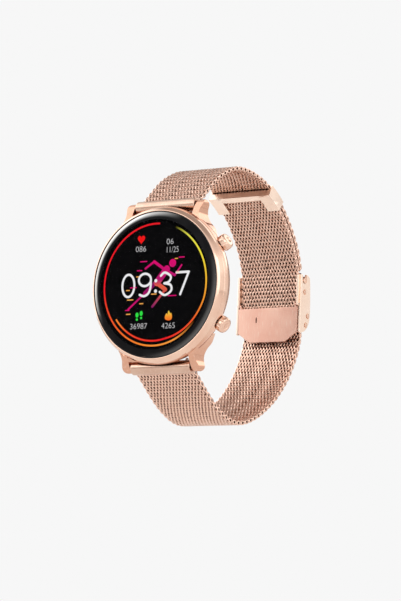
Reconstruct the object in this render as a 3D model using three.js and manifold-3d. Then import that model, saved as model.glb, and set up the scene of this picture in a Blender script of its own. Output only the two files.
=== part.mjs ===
// Round smartwatch on a woven metal band, as an assembly of separate pieces.
// Millimetres. +X is 3 o'clock, +Z is 12 o'clock, and -Y is where the dial faces.
// The origin is the centre of the sensor window's outer face, which rests on the wrist.

import * as THREE from 'three';
import { mergeVertices } from 'three/addons/utils/BufferGeometryUtils.js';
import Module from 'manifold-3d';

const wasm = await Module();
wasm.setup();

// ---------------------------------------------------------------- driving dimensions

const CASE_DEPTH = 11;            // sensor window to the glass rim
const CASE_R = 22.3;              // widest radius of the mid-case
const BORE_R = 16.4;              // radius of the hollow inside the mid-case
const GLASS_R = 19.95;
const PARTING_Y = -9.3;           // joint line between bezel and mid-case
const CASE_BOTTOM_Y = -2.7;       // back end of the mid-case

const LUG_GAP = 20.4;             // clear width between a pair of lugs
const BAR_Y = -5.5;               // spring-bar axis
const BAR_Z = 22.7;
const LINK_R = 1.9;               // barrel of an end link
const BAR_R = 0.75;
const TIP_R = 0.38;               // spring-bar tip

const BAND_W = 19.6;              // width of the woven band
const BAND_T = 1.4;               // its thickness
const LAYER_GAP = 0.25;           // air between the short strap and the tail under it

const PUSHER_Y = -6;              // push-button axis
const PUSHER_ANGLES = { upper: 30, lower: -30 };   // degrees from 3 o'clock
const PUSHER_R = 2.25;
const PUSHER_TOP = 24.9;          // distance of the head's end from the case axis
const PUSHER_BASE = 22.3;

const FLANGE_X = 10.5;            // inner face of the clasp's side walls
const FLANGE_T = 0.6;

const ROUND = 48;                 // sides of the large turned pieces
const SMALL = 16;                 // sides of the small turned pieces

// ---------------------------------------------------------------- materials

function material(color, metalness, roughness) {
  return new THREE.MeshStandardMaterial({ color, metalness, roughness });
}

const ROSE_POLISHED = material(0xf0c8b0, 1.0, 0.18);
const ROSE_SATIN = material(0xe8bba2, 1.0, 0.32);
const ROSE_BRUSHED = material(0xe6b7a3, 1.0, 0.38);
const STEEL = material(0xb9bcc0, 1.0, 0.3);
const GOLD = material(0xd9b25f, 1.0, 0.25);
const BLACK_GLASS = material(0x050608, 0.0, 0.05);
const BLACK_PLASTIC = material(0x141416, 0.0, 0.5);
const RUBBER = material(0x0c0c0c, 0.0, 0.8);
const BOARD_GREEN = material(0x14553a, 0.1, 0.5);
const FLEX_AMBER = material(0xb8741c, 0.1, 0.45);
const CELL_SILVER = material(0xa9adb3, 0.6, 0.4);
const LED_GREEN = material(0x74f08a, 0.0, 0.2);

// ---------------------------------------------------------------- building blocks

const watch = new THREE.Group();

function add(name, geometry, finish, parent = watch) {
  const mesh = new THREE.Mesh(geometry, finish);
  mesh.name = name;
  parent.add(mesh);
  return mesh;
}

function points(pairs) {
  return pairs.map(([a, b]) => new THREE.Vector2(a, b));
}

// A closed profile of [radius, y] pairs turned about the Y axis.
function turned(profile, sides = SMALL) {
  const outline = points(profile);
  const first = outline[0];
  const last = outline[outline.length - 1];
  if (first.x > 0 || last.x > 0) outline.push(first.clone());
  return new THREE.LatheGeometry(outline, sides);
}

// A turned solid's profile reads outwards on the low side first, so that faces point out.
function disc(radius, low, high, sides = SMALL) {
  return turned([[0, low], [radius, low], [radius, high], [0, high]], sides);
}

function ring(inner, outer, low, high, sides = SMALL) {
  return turned([[inner, low], [outer, low], [outer, high], [inner, high]], sides);
}

// Turns a piece that was made about Y so that its +Y end points along a unit direction.
function aim(geometry, x, y, z) {
  const direction = new THREE.Vector3(x, y, z).normalize();
  const turn = new THREE.Quaternion().setFromUnitVectors(new THREE.Vector3(0, 1, 0), direction);
  return geometry.applyQuaternion(turn);
}

function rodX(radius, from, to, y, z, sides = SMALL) {
  return aim(disc(radius, from, to, sides), 1, 0, 0).translate(0, y, z);
}

// A flat outline of [y, z] pairs, given thickness along X.
function plateX(outline, from, to) {
  const shape = outline instanceof THREE.Shape ? outline : new THREE.Shape(points(outline));
  const geometry = new THREE.ExtrudeGeometry(shape, {
    depth: to - from, bevelEnabled: false, curveSegments: 8,
  });
  const turn = new THREE.Matrix4().set(
    0, 0, 1, from,
    1, 0, 0, 0,
    0, 1, 0, 0,
    0, 0, 0, 1,
  );
  return geometry.applyMatrix4(turn);
}

// A flat outline of [x, z] pairs, given thickness along Y.
function plateY(outline, from, to) {
  const shape = outline instanceof THREE.Shape ? outline : new THREE.Shape(points(outline));
  const geometry = new THREE.ExtrudeGeometry(shape, {
    depth: to - from, bevelEnabled: false, curveSegments: 3,
  });
  return geometry.rotateX(Math.PI / 2).translate(0, to, 0);
}

function block(x0, x1, y0, y1, z0, z1) {
  return new THREE.BoxGeometry(x1 - x0, y1 - y0, z1 - z0)
    .translate((x0 + x1) / 2, (y0 + y1) / 2, (z0 + z1) / 2);
}

function roundedRectangle(width, height, radius) {
  const x = width / 2;
  const z = height / 2;
  const shape = new THREE.Shape();
  shape.moveTo(-x + radius, -z);
  shape.lineTo(x - radius, -z).absarc(x - radius, -z + radius, radius, -Math.PI / 2, 0);
  shape.lineTo(x, z - radius).absarc(x - radius, z - radius, radius, 0, Math.PI / 2);
  shape.lineTo(-x + radius, z).absarc(-x + radius, z - radius, radius, Math.PI / 2, Math.PI);
  shape.lineTo(-x, -z + radius).absarc(-x + radius, -z + radius, radius, Math.PI, 1.5 * Math.PI);
  return shape;
}

function solid(geometry) {
  const bare = geometry.index ? geometry.toNonIndexed() : geometry.clone();
  bare.deleteAttribute('normal');
  bare.deleteAttribute('uv');
  const merged = mergeVertices(bare, 1e-4);
  return new wasm.Manifold(new wasm.Mesh({
    numProp: 3,
    vertProperties: new Float32Array(merged.attributes.position.array),
    triVerts: new Uint32Array(merged.index.array),
  }));
}

function shown(body) {
  const mesh = body.getMesh();
  const geometry = new THREE.BufferGeometry();
  geometry.setAttribute('position', new THREE.BufferAttribute(mesh.vertProperties, 3));
  geometry.setIndex(new THREE.BufferAttribute(mesh.triVerts, 1));
  geometry.computeVertexNormals();
  return geometry;
}

function joined(...geometries) {
  return geometries.map(solid).reduce((body, next) => body.add(next));
}

function cut(body, ...geometries) {
  return geometries.map(solid).reduce((rest, next) => rest.subtract(next), body);
}

// Mirrors a body that was made on the +X, +Z side onto the side asked for.
function flipped(body, sideX, sideZ) {
  let result = body;
  if (sideX < 0) result = result.mirror([1, 0, 0]);
  if (sideZ < 0) result = result.mirror([0, 0, 1]);
  return result;
}

// A round wire wound about the Y axis, with its ends flat.
function coilSpring(radius, wire, low, high, turns) {
  class Helix extends THREE.Curve {
    getPoint(t) {
      const angle = t * turns * 2 * Math.PI;
      return new THREE.Vector3(
        radius * Math.cos(angle), low + wire + (high - low - 2 * wire) * t, radius * Math.sin(angle),
      );
    }
  }
  const section = new THREE.Shape();
  section.absarc(0, 0, wire, 0, 2 * Math.PI);
  return new THREE.ExtrudeGeometry(section, {
    steps: turns * 8, curveSegments: 2, extrudePath: new Helix(), bevelEnabled: false,
  });
}

const SIDES = { upper: 1, lower: -1 };

// ---------------------------------------------------------------- glass and bezel

function buildFront() {
  const rim = -CASE_DEPTH;
  add('cover_glass', turned([
    [0, rim + 1.0], [GLASS_R, rim + 1.0], [GLASS_R, rim + 0.1], [GLASS_R - 0.35, rim - 0.25],
    [GLASS_R - 1.3, rim - 0.5], [0, rim - 0.55],
  ].reverse(), ROUND), BLACK_GLASS);

  add('glass_gasket', ring(GLASS_R + 0.06, GLASS_R + 0.26, rim + 0.05, rim + 1.0, ROUND), RUBBER);

  add('bezel_ring', turned([
    [GLASS_R + 0.32, rim + 0.05], [20.6, rim - 0.05], [21.2, rim + 0.45], [21.75, rim + 1.1],
    [21.95, PARTING_Y], [18.9, PARTING_Y], [18.9, rim + 1.15], [GLASS_R + 0.32, rim + 1.15],
  ], ROUND), ROSE_POLISHED);

  add('touch_display', disc(18.5, rim + 1.15, PARTING_Y - 0.05, 48), BLACK_PLASTIC);
}

// ---------------------------------------------------------------- mid-case with its lugs

// Seen from the side: the front slopes back from the bezel to a rounded tip.
const LUG_SIDE = [
  [-8.9, 13.5], [-8.8, 18.0], [-8.2, 20.3], [-7.2, 22.3], [-6.3, 23.5], [-5.4, 24.0],
  [-4.6, 23.9], [-4.0, 23.2], [-3.7, 22.0], [-3.5, 19.5], [-3.3, 16.5], [-3.3, 13.5],
];

// Seen from the front: the outer edge is waisted and flares again towards the tip.
const LUG_FRONT = [
  [LUG_GAP / 2, 13.5], [15.6, 13.5], [14.6, 16.0], [13.2, 17.6], [12.5, 18.9], [12.25, 20.0],
  [12.35, 21.2], [12.75, 22.4], [12.8, 23.2], [12.5, 23.8], [11.9, 24.1], [10.8, 24.1],
  [LUG_GAP / 2, 23.6],
];

function lug(sideX, sideZ) {
  const profile = plateX(LUG_SIDE, LUG_GAP / 2, 17);
  const outline = plateY(LUG_FRONT, -9.2, -3.0);
  const body = solid(profile).intersect(solid(outline));
  return flipped(body, sideX, sideZ);
}

function pusherAxis(side) {
  const angle = PUSHER_ANGLES[side] * Math.PI / 180;
  return [Math.cos(angle), 0, Math.sin(angle)];
}

function buildMidCase() {
  const shell = turned([
    [BORE_R, PARTING_Y + 0.2], [21.95, PARTING_Y + 0.2], [22.2, -8.5], [CASE_R, -7.6],
    [CASE_R, -6.8], [21.9, -5.4], [21.2, -4.2], [20.2, -3.3], [19.2, CASE_BOTTOM_Y],
    [BORE_R, CASE_BOTTOM_Y],
  ], ROUND);
  let body = solid(shell);
  for (const x of [1, -1]) {
    for (const z of [1, -1]) body = body.add(lug(x, z));
  }
  // The bore is cleared again, because the lugs' roots reach in towards it.
  body = cut(body, disc(BORE_R, -12, 0, ROUND));
  for (const z of [BAR_Z, -BAR_Z]) {
    const clearance = rodX(2.9, -LUG_GAP / 2, LUG_GAP / 2, BAR_Y, z, 24);
    const tipHoles = rodX(0.55, -11.55, 11.55, BAR_Y, z, 16);
    body = cut(body, clearance, tipHoles);
  }
  for (const side of Object.keys(SIDES)) {
    const sleeveBore = aim(disc(1.85, 15, 23), ...pusherAxis(side)).translate(0, PUSHER_Y, 0);
    const recess = aim(disc(PUSHER_R + 0.45, 21.5, 24), ...pusherAxis(side)).translate(0, PUSHER_Y, 0);
    body = cut(body, sleeveBore, recess);
  }
  for (const [x, z] of SCREW_PLACES) {
    body = cut(body, disc(0.6, -5.2, -2, 12).translate(x, 0, z));
  }
  add('mid_case', shown(body), ROSE_POLISHED);
}

// ---------------------------------------------------------------- back of the case

const SCREW_RING = 17.6;
const SCREW_PLACES = [45, 135, 225, 315].map((degrees) => {
  const angle = degrees * Math.PI / 180;
  return [SCREW_RING * Math.cos(angle), SCREW_RING * Math.sin(angle)];
});
const WELL_R = 12.2;              // hollow behind the sensor window
const WINDOW_R = 9.6;
const CONTACT_PLACES = [[-2, -13.7], [2, -13.7]];

function buildBack() {
  const cover = turned([
    [WINDOW_R + 0.1, -0.75], [WINDOW_R + 0.1, -0.3], [12.6, -0.4], [13.4, -0.95], [17.9, -1.2],
    [18.8, -1.8], [18.8, -2.6], [18.3, -2.6], [18.3, -2.2], [WELL_R, -2.2], [WELL_R, -0.95],
    [WINDOW_R - 0.9, -0.95], [WINDOW_R - 0.9, -0.75],
  ].reverse(), ROUND);
  let body = solid(cover);
  for (const [x, z] of SCREW_PLACES) {
    body = cut(body, disc(0.6, -3, 0, 12).translate(x, 0, z), disc(1.0, -1.75, 0, 16).translate(x, 0, z));
  }
  for (const [x, z] of CONTACT_PLACES) body = cut(body, disc(1.0, -3, 0, 16).translate(x, 0, z));
  add('case_back', shown(body), BLACK_PLASTIC);

  add('back_gasket', ring(BORE_R + 0.1, BORE_R + 0.5, -2.62, -2.28, ROUND), RUBBER);
  add('sensor_window', turned([
    [0, -0.7], [WINDOW_R, -0.7], [WINDOW_R, -0.15], [WINDOW_R - 0.2, 0], [0, 0],
  ], 48), BLACK_GLASS);

  SCREW_PLACES.forEach(([x, z], index) => {
    add(`back_screw_${index + 1}`, turned([
      [0, -4.9], [0.45, -4.9], [0.45, -1.65], [0.85, -1.65], [0.85, -1.3], [0.7, -1.2], [0, -1.2],
    ], 12).translate(x, 0, z), STEEL);
  });
  CONTACT_PLACES.forEach(([x, z], index) => {
    add(`charging_contact_${'ab'[index]}`, turned([
      [0, -3.3], [1.3, -3.3], [1.3, -2.5], [0.85, -2.5], [0.85, -1.05], [0.7, -0.95], [0, -0.95],
    ], 16).translate(x, 0, z), GOLD);
    add(`charging_magnet_${'ab'[index]}`, disc(1.4, -3.4, -2.4, 16).translate(Math.sign(x) * 5.6, 0, -11.8), STEEL);
  });
}

// ---------------------------------------------------------------- works inside the case

function buildInside() {
  const tray = joined(
    disc(16.1, -8.95, -8.35, 48),
    ring(15.3, 16.1, -8.6, -3.0, 48),
  );
  const pusherBays = Object.keys(SIDES).map((side) => (
    aim(block(-3, 3, 12, 17, -2.6, 2.6), ...pusherAxis(side)).translate(0, PUSHER_Y, 0)
  ));
  add('inner_tray', shown(cut(tray, ...pusherBays, block(-3.6, 3.6, -10, -7, -14.6, -13.6))), BLACK_PLASTIC);
  add('display_flex', block(-3.1, 3.1, -9.15, -4.6, -14.2, -14.0), FLEX_AMBER);

  add('battery', plateY(roundedRectangle(17, 18, 1.2), -8.0, -4.8).translate(-3.5, 0, 0), CELL_SILVER);
  add('vibration_motor', disc(3.4, -7.6, -5.2, 24).translate(9.4, 0, 0), STEEL);

  const board = cut(solid(disc(14.8, -4.5, -3.8, 40)), block(9.5, 16, -6, -2, -10.5, 10.5));
  add('main_board', shown(board), BOARD_GREEN);
  add('board_shield', plateY(roundedRectangle(10, 8, 0.6), -3.6, -2.7).translate(-4, 0, 6.5), STEEL);
  add('sensor_board', disc(8.6, -2.1, -1.5, 32), BOARD_GREEN);
  for (const [name, x] of [['sensor_led_a', -2.6], ['sensor_led_b', 2.6]]) {
    add(name, block(x - 0.8, x + 0.8, -1.4, -0.98, -0.8, 0.8), LED_GREEN);
  }
  add('photodiode', block(-1.1, 1.1, -1.4, -0.98, -1.1, 1.1), BLACK_PLASTIC);
}

// ---------------------------------------------------------------- push-buttons

function pusherGroup(side) {
  const group = new THREE.Group();
  group.quaternion.setFromUnitVectors(
    new THREE.Vector3(0, 1, 0), new THREE.Vector3(...pusherAxis(side)),
  );
  group.position.y = PUSHER_Y;
  watch.add(group);
  return group;
}

function buildPusher(side) {
  const place = pusherGroup(side);
  const flutes = [0, 1, 2, 3, 4, 5].map((index) => (
    new THREE.CylinderGeometry(0.38, 0.38, 3, 8)
      .rotateX(0.35)
      .translate(0, PUSHER_TOP - 0.6, PUSHER_R + 0.12)
      .rotateY(index * Math.PI / 3)
  ));
  const head = turned([
    [0, 16.2], [0.6, 16.2], [0.6, 17.0], [0.6, PUSHER_BASE], [PUSHER_R - 0.15, PUSHER_BASE],
    [PUSHER_R, PUSHER_BASE + 0.2], [PUSHER_R, PUSHER_TOP - 0.7], [PUSHER_R - 0.45, PUSHER_TOP],
    [0.7, PUSHER_TOP + 0.1], [0.55, PUSHER_TOP - 0.2], [0, PUSHER_TOP - 0.2],
  ], 24);
  add(`${side}_pusher`, shown(cut(solid(head), ...flutes)), ROSE_POLISHED, place);
  add(`${side}_pusher_clip`, ring(0.75, 1.3, 16.25, 16.45, 16), STEEL, place);

  add(`${side}_pusher_sleeve`, turned([
    [0.75, 16.7], [1.7, 16.7], [1.7, 21.6], [1.45, 21.6], [1.45, 18.2], [0.75, 18.2],
  ]), STEEL, place);
  add(`${side}_pusher_seal`, ring(0.7, 1.3, 18.35, 18.95, 16), RUBBER, place);
  add(`${side}_pusher_spring`, coilSpring(1.05, 0.17, 19.2, 21.6, 3), STEEL, place);
  const contact = joined(block(-1.6, 1.6, 13.9, 14.9, -1.6, 1.6), disc(0.6, 14.7, 15.5, 12));
  add(`${side}_tact_switch`, shown(contact), STEEL, place);
}

// ---------------------------------------------------------------- spring bars and end links

function buildBar(side) {
  const z = BAR_Z * SIDES[side];
  const barrel = cut(
    joined(rodX(BAR_R, -9.6, 3.2, BAR_Y, z, 16), rodX(TIP_R, -11.3, -9.5, BAR_Y, z, 12)),
    rodX(0.52, -2, 4, BAR_Y, z, 12),
  );
  add(`${side}_spring_bar`, shown(barrel), STEEL);

  // The knob leans towards the wrist side, where a fingernail reaches it.
  const knob = aim(disc(0.5, 0, 2.75, 12), 0, 0.5, -0.866 * SIDES[side]).translate(7.2, BAR_Y, z);
  add(`${side}_release_pin`, shown(joined(
    rodX(0.3, 0.6, 5.2, BAR_Y, z, 10),
    rodX(BAR_R, 5.0, 9.6, BAR_Y, z, 16),
    rodX(TIP_R, 9.5, 11.3, BAR_Y, z, 12),
    knob,
  )), STEEL);
  add(`${side}_bar_spring`, aim(coilSpring(0.34, 0.1, -1.9, -0.85, 2), 1, 0, 0).translate(0, BAR_Y, z), STEEL);
}

function buildEndLink(side) {
  const shape = new THREE.Shape();
  const tongueY = BAR_Y + 2.3;
  const tongueZ = BAR_Z + 2.0;
  const tongueR = 0.95;
  const lean = Math.atan2(tongueZ - BAR_Z, tongueY - BAR_Y);
  const taper = Math.acos((LINK_R - tongueR) / Math.hypot(tongueY - BAR_Y, tongueZ - BAR_Z));
  shape.absarc(BAR_Y, BAR_Z, LINK_R, lean + taper, lean - taper + 2 * Math.PI);
  shape.absarc(tongueY, tongueZ, tongueR, lean - taper, lean + taper);
  const bore = new THREE.Path();
  bore.absarc(BAR_Y, BAR_Z, 0.95, 0, 2 * Math.PI);
  shape.holes.push(bore);
  const slot = block(5.2, 8.0, 0, 3.2, -0.75, 0.75);
  const lowered = aim(slot, 0, 0.5, -0.866).translate(0, BAR_Y, BAR_Z);
  const body = cut(solid(plateX(shape, -9.9, 9.9)), lowered);
  add(`${side}_end_link`, shown(flipped(body, 1, SIDES[side])), ROSE_POLISHED);
}

// ---------------------------------------------------------------- woven band

// The outer face of each half, as [y, z], from its end link round to the clasp.
const SHORT_OUTLINE = [
  [-2.6, 26.1], [3.3, 31.4], [8.3, 34.5], [14.2, 36.8], [20.0, 37.3], [25.5, 36.6], [31.2, 35.0],
  [37.2, 31.8], [42.5, 27.6], [47.0, 22.4], [50.3, 17.0], [52.2, 11.6],
];
const LONG_OUTLINE = [
  [-2.6, -25.9], [3.5, -30.9], [8.5, -34.1], [14.0, -36.4], [19.5, -37.0], [25.5, -35.8],
  [32.0, -33.0], [39.0, -28.5], [45.0, -22.8], [49.2, -17.0], [51.9, -11.4], [52.7, -7.8],
];
// Inside the clasp the tail crosses from the outer line to under the short strap.
const CROSSING = [[51.15, -5.0], [50.75, -2.2], [50.5, 0.8], [50.3, 4.0], [50.2, 7.2]];
const TAIL_START_Z = 10;          // where the tail comes out of the clasp
const TAIL_END_Y = 34;            // where it stops under the short strap

function unit(vector) {
  const length = Math.hypot(vector[0], vector[1]);
  return [vector[0] / length, vector[1] / length];
}

// Moves every point of a run sideways, to its left hand by a positive distance.
function offset(run, distance) {
  return run.map(([y, z], index) => {
    const before = run[Math.max(index - 1, 0)];
    const after = run[Math.min(index + 1, run.length - 1)];
    const [dy, dz] = unit([after[0] - before[0], after[1] - before[1]]);
    return [y - dz * distance, z + dy * distance];
  });
}

function smoothRun(outline, steps) {
  const curve = new THREE.SplineCurve(points(outline));
  return curve.getSpacedPoints(steps).map((point) => [point.x, point.y]);
}

function strip(run, near, far, from, to) {
  const edge = offset(run, near).concat(offset(run, far).reverse());
  return plateX(edge, from, to);
}

const SHORT_RUN = smoothRun(SHORT_OUTLINE, 40);
const LONG_RUN = smoothRun(LONG_OUTLINE, 40);
// Inward lies on the right hand of the short run and on the left hand of the long one.
const TAIL_DEPTH = BAND_T * 1.5 + LAYER_GAP;
const TAIL_RUN = offset(SHORT_RUN, -TAIL_DEPTH)
  .filter(([y, z]) => y > TAIL_END_Y && z > TAIL_START_Z)
  .reverse();

function buildBands() {
  const half = BAND_W / 2;
  add('short_band', strip(SHORT_RUN, 0, -BAND_T, -half, half), ROSE_SATIN);

  const centre = smoothRun(offset(LONG_RUN, BAND_T / 2).concat(CROSSING, TAIL_RUN), 76);
  add('long_band', strip(centre, -BAND_T / 2, BAND_T / 2, -half, half), ROSE_SATIN);
}

// ---------------------------------------------------------------- cap on the tail's end

function buildTailCap() {
  const reach = 5;                // steps of the run that the side arms cover
  const tip = TAIL_RUN.slice(-reach);
  const end = tip[tip.length - 1];
  const before = tip[tip.length - 2];
  const [dy, dz] = unit([end[0] - before[0], end[1] - before[1]]);
  const beyond = (distance) => [end[0] + dy * distance, end[1] + dz * distance];
  const covered = tip.concat([beyond(0.9)]);
  const inner = BAND_T / 2 + 0.12;
  const outerFace = -(TAIL_DEPTH - 0.05);
  const wall = (side) => (side > 0
    ? strip(covered, outerFace, inner + 0.5, BAND_W / 2 + 0.12, BAND_W / 2 + 0.7)
    : strip(covered, outerFace, inner + 0.5, -BAND_W / 2 - 0.7, -BAND_W / 2 - 0.12));
  const arm = (side) => (side > 0
    ? strip(covered, inner, inner + 0.5, 6.6, BAND_W / 2 + 0.4)
    : strip(covered, inner, inner + 0.5, -BAND_W / 2 - 0.4, -6.6));
  const lip = strip([beyond(-1.2), beyond(0.9)], inner, inner + 0.5, -10.2, 10.2);
  const nose = strip([beyond(0.25), beyond(0.9)], -BAND_T / 2, inner + 0.4, -10.2, 10.2);
  add('tail_cap', shown(joined(wall(1), wall(-1), arm(1), arm(-1), lip, nose)), ROSE_POLISHED);
}

// ---------------------------------------------------------------- clasp

const HOOK_BAR = [51.5, 8.5];
const COVER_PIVOT = [52.5, -4.7];
const LOCK_PIVOT = [49.3, 1.35];
const CROSS_PINS = [[51.6, 5.1], [53.5, -1.9]];

const FLANGE_OUTLINE = [
  [49.5, 10.2], [52.9, 10.4], [54.3, 9.7], [54.75, 7.8], [55.0, 1.5], [54.8, -2.4], [54.0, -4.6],
  [52.2, -6.4], [49.6, -7.3], [49.1, -7.0],
];

function buildClaspBody() {
  const flange = (from) => plateX(FLANGE_OUTLINE, from, from + FLANGE_T);
  const guide = (from) => plateX([
    [48.6, 1.5], [48.8, 0.9], [49.3, 0.65], [49.8, 0.9], [50.0, 1.5], [50.0, 10.1], [48.6, 10.1],
  ], from, from + 0.65);
  const body = joined(
    flange(FLANGE_X), flange(-FLANGE_X - FLANGE_T),
    guide(9.9), guide(-9.9 - 0.65),
    block(-FLANGE_X - 0.1, FLANGE_X + 0.1, 53.1, 53.6, -1.0, 6.4),
  );
  const barSlot = plateX([
    [HOOK_BAR[0] - 1.0, HOOK_BAR[1] - 0.5], [HOOK_BAR[0] - 0.4, HOOK_BAR[1] - 1.0],
    [HOOK_BAR[0] + 0.4, HOOK_BAR[1] - 1.0], [HOOK_BAR[0] + 1.0, HOOK_BAR[1] - 0.5],
    [HOOK_BAR[0] + 1.0, 12], [HOOK_BAR[0] - 1.4, 12],
  ], -12, 12);
  const holes = [COVER_PIVOT, ...CROSS_PINS].map(([y, z]) => rodX(0.5, -12, 12, y, z, 12));
  const lockHoles = rodX(0.3, -12, 12, ...LOCK_PIVOT, 12);
  add('clasp_body', shown(cut(body, barSlot, ...holes, lockHoles)), ROSE_SATIN);

  const cap = FLANGE_X + FLANGE_T;
  const pin = ([y, z], r, flat) => joined(
    rodX(r, -cap - 0.1, cap + 0.1, y, z, 12),
    rodX(flat, cap + 0.06, cap + 0.3, y, z, 16),
    rodX(flat, -cap - 0.3, -cap - 0.06, y, z, 16),
  );
  add('cover_hinge_pin', shown(pin(COVER_PIVOT, 0.4, 0.7)), ROSE_POLISHED);
  add('cross_pin_a', shown(pin(CROSS_PINS[0], 0.4, 0.7)), ROSE_POLISHED);
  add('cross_pin_b', shown(pin(CROSS_PINS[1], 0.4, 0.7)), ROSE_POLISHED);
  for (const [name, from, to] of [['lock_pivot_right', 9.25, 10.9], ['lock_pivot_left', -10.9, -9.25]]) {
    add(name, rodX(0.2, from, to, ...LOCK_PIVOT, 10), STEEL);
  }
}

// The lock plate bears on the tail from the wrist side and carries a slot to lift it by.
function buildLockPlate() {
  const plate = plateY([
    [-10.3, 0.55], [-10.3, -6.9], [-6.2, -9.7], [6.2, -9.7], [10.3, -6.9], [10.3, 0.55],
  ], 49.0, 49.5);
  const ear = (from) => joined(
    block(from, from + 0.5, 49.0, 49.5, 0, LOCK_PIVOT[1]),
    rodX(0.42, from, from + 0.5, ...LOCK_PIVOT, 12),
  );
  const ridge = block(-9, 9, 49.4, 49.9, -6.2, -5.2);
  let body = joined(plate, ridge).add(ear(9.3)).add(ear(-9.8));
  body = cut(
    body,
    block(-4.6, -3.4, 48, 51, -3.15, -2.85),
    rodX(0.26, -12, 12, ...LOCK_PIVOT, 10),
  );
  add('lock_plate', shown(body), ROSE_BRUSHED);
}

function buildClaspCover() {
  const outside = [
    [53.4, 10.0], [54.5, 9.9], [55.3, 9.0], [55.6, 7.0], [55.75, 1.5], [55.55, -1.6], [55.0, -3.4],
  ];
  const inside = [[54.35, -3.2], [54.9, -1.6], [55.1, 1.5], [54.95, 7.0], [54.6, 8.6], [53.4, 9.3]];
  const shell = plateX(outside.concat(inside), -10.3, 10.3);
  const overlap = plateX([
    [55.1, 9.1], [55.3, 9.0], [55.6, 7.0], [55.75, 1.5], [55.55, -1.6], [55.3, -1.5],
    [55.45, 1.5], [55.3, 7.0],
  ], -11.0, 11.0);
  const ear = (from) => joined(
    plateX([
      [COVER_PIVOT[0] + 0.1, COVER_PIVOT[1] + 0.75], [COVER_PIVOT[0] + 0.6, COVER_PIVOT[1] - 0.5],
      [54.6, -3.2], [55.1, -1.7], [54.45, -2.1],
    ], from, from + 0.4),
    rodX(0.8, from, from + 0.4, ...COVER_PIVOT, 16),
  );
  const latchNose = block(-3, 3, 52.6, 54.8, 7.9, 9.2);
  let body = joined(shell, overlap, latchNose).add(ear(9.95)).add(ear(-10.35));
  body = cut(body, rodX(0.5, -12, 12, ...COVER_PIVOT, 12));
  add('clasp_cover', shown(body), ROSE_BRUSHED);
}

// A frame on the short strap's end, whose bar lies in the open slots of the clasp's walls.
function buildHookBar() {
  const [y, z] = HOOK_BAR;
  const arm = (from) => block(from, from + 1.3, y - 0.6, y + 0.55, z - 0.2, 10.9);
  const body = joined(
    rodX(0.6, -FLANGE_X - FLANGE_T - 0.1, FLANGE_X + FLANGE_T + 0.1, y, z, 16),
    arm(8.3), arm(-9.6),
    rodX(0.85, FLANGE_X + FLANGE_T + 0.06, FLANGE_X + FLANGE_T + 0.3, y, z, 16),
    rodX(0.85, -FLANGE_X - FLANGE_T - 0.3, -FLANGE_X - FLANGE_T - 0.06, y, z, 16),
    block(-9.6, 9.6, y - 0.6, y + 0.55, 10.3, 10.9),
  );
  add('hook_bar', shown(body), ROSE_POLISHED);
}

buildFront();
buildMidCase();
buildBack();
buildInside();
for (const side of Object.keys(SIDES)) {
  buildPusher(side);
  buildBar(side);
  buildEndLink(side);
}
buildBands();
buildTailCap();
buildClaspBody();
buildLockPlate();
buildClaspCover();
buildHookBar();

export default watch;
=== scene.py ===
"""The visible surfaces of a round smartwatch on a woven metal band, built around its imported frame.

Pieces are modelled in millimetres: +X is 3 o'clock, +Z is 12 o'clock, and -Y is where the dial faces.
Each one is scaled to metres when it is settled on its body.
"""

import contextlib
import functools
import logging
import math
from collections.abc import Callable, Iterator, Sequence
from dataclasses import dataclass, field
from enum import Enum

import bpy
import numpy as np
from mathutils import Matrix, Vector


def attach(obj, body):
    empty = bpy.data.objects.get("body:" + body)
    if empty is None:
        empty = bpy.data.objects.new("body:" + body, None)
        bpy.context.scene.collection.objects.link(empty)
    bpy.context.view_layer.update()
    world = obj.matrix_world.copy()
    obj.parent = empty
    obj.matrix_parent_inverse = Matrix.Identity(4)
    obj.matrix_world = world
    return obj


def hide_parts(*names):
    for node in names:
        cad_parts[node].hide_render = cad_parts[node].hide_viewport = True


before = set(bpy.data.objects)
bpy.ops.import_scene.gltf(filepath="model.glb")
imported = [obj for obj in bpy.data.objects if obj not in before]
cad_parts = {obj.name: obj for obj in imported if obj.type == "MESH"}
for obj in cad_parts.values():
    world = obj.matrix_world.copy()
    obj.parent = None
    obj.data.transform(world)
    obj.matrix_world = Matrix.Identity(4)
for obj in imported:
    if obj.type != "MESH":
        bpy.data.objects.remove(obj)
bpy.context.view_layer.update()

LOG = logging.getLogger("smartwatch")

MM = 0.001                # metres in a millimetre
TURN_STEPS = 160          # sides of a large turned piece
PIN_STEPS = 32            # sides of a small one
WELD = 0.002              # corners nearer than this are one corner
GLASS_RADIUS = 20.35      # the rim of the front glass
BAR_Y = -5.5              # the spring bars' axis
BAR_Z = 22.7
PUSHER_Y = -6.0           # the push-buttons' axis
PUSHER_ANGLES = {"upper": 30.0, "lower": -30.0}   # degrees from 3 o'clock towards 12

Pair = tuple[float, float]
Triple = tuple[float, float, float]
Colour = tuple[float, float, float]


# ---------------------------------------------------------------- lines and curves

def arc(centre: Pair, radius: float, first: float, last: float, count: int) -> list[Pair]:
    """Points on a circle.

    Args:
        centre: the circle's centre.
        radius: its radius.
        first: the angle of the first point, in degrees.
        last: the angle of the last point, in degrees.
        count: how many points.

    Returns:
        The points in order.
    """
    angles = np.radians(np.linspace(first, last, count))
    return [(centre[0] + radius * math.cos(a), centre[1] + radius * math.sin(a)) for a in angles]


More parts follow.
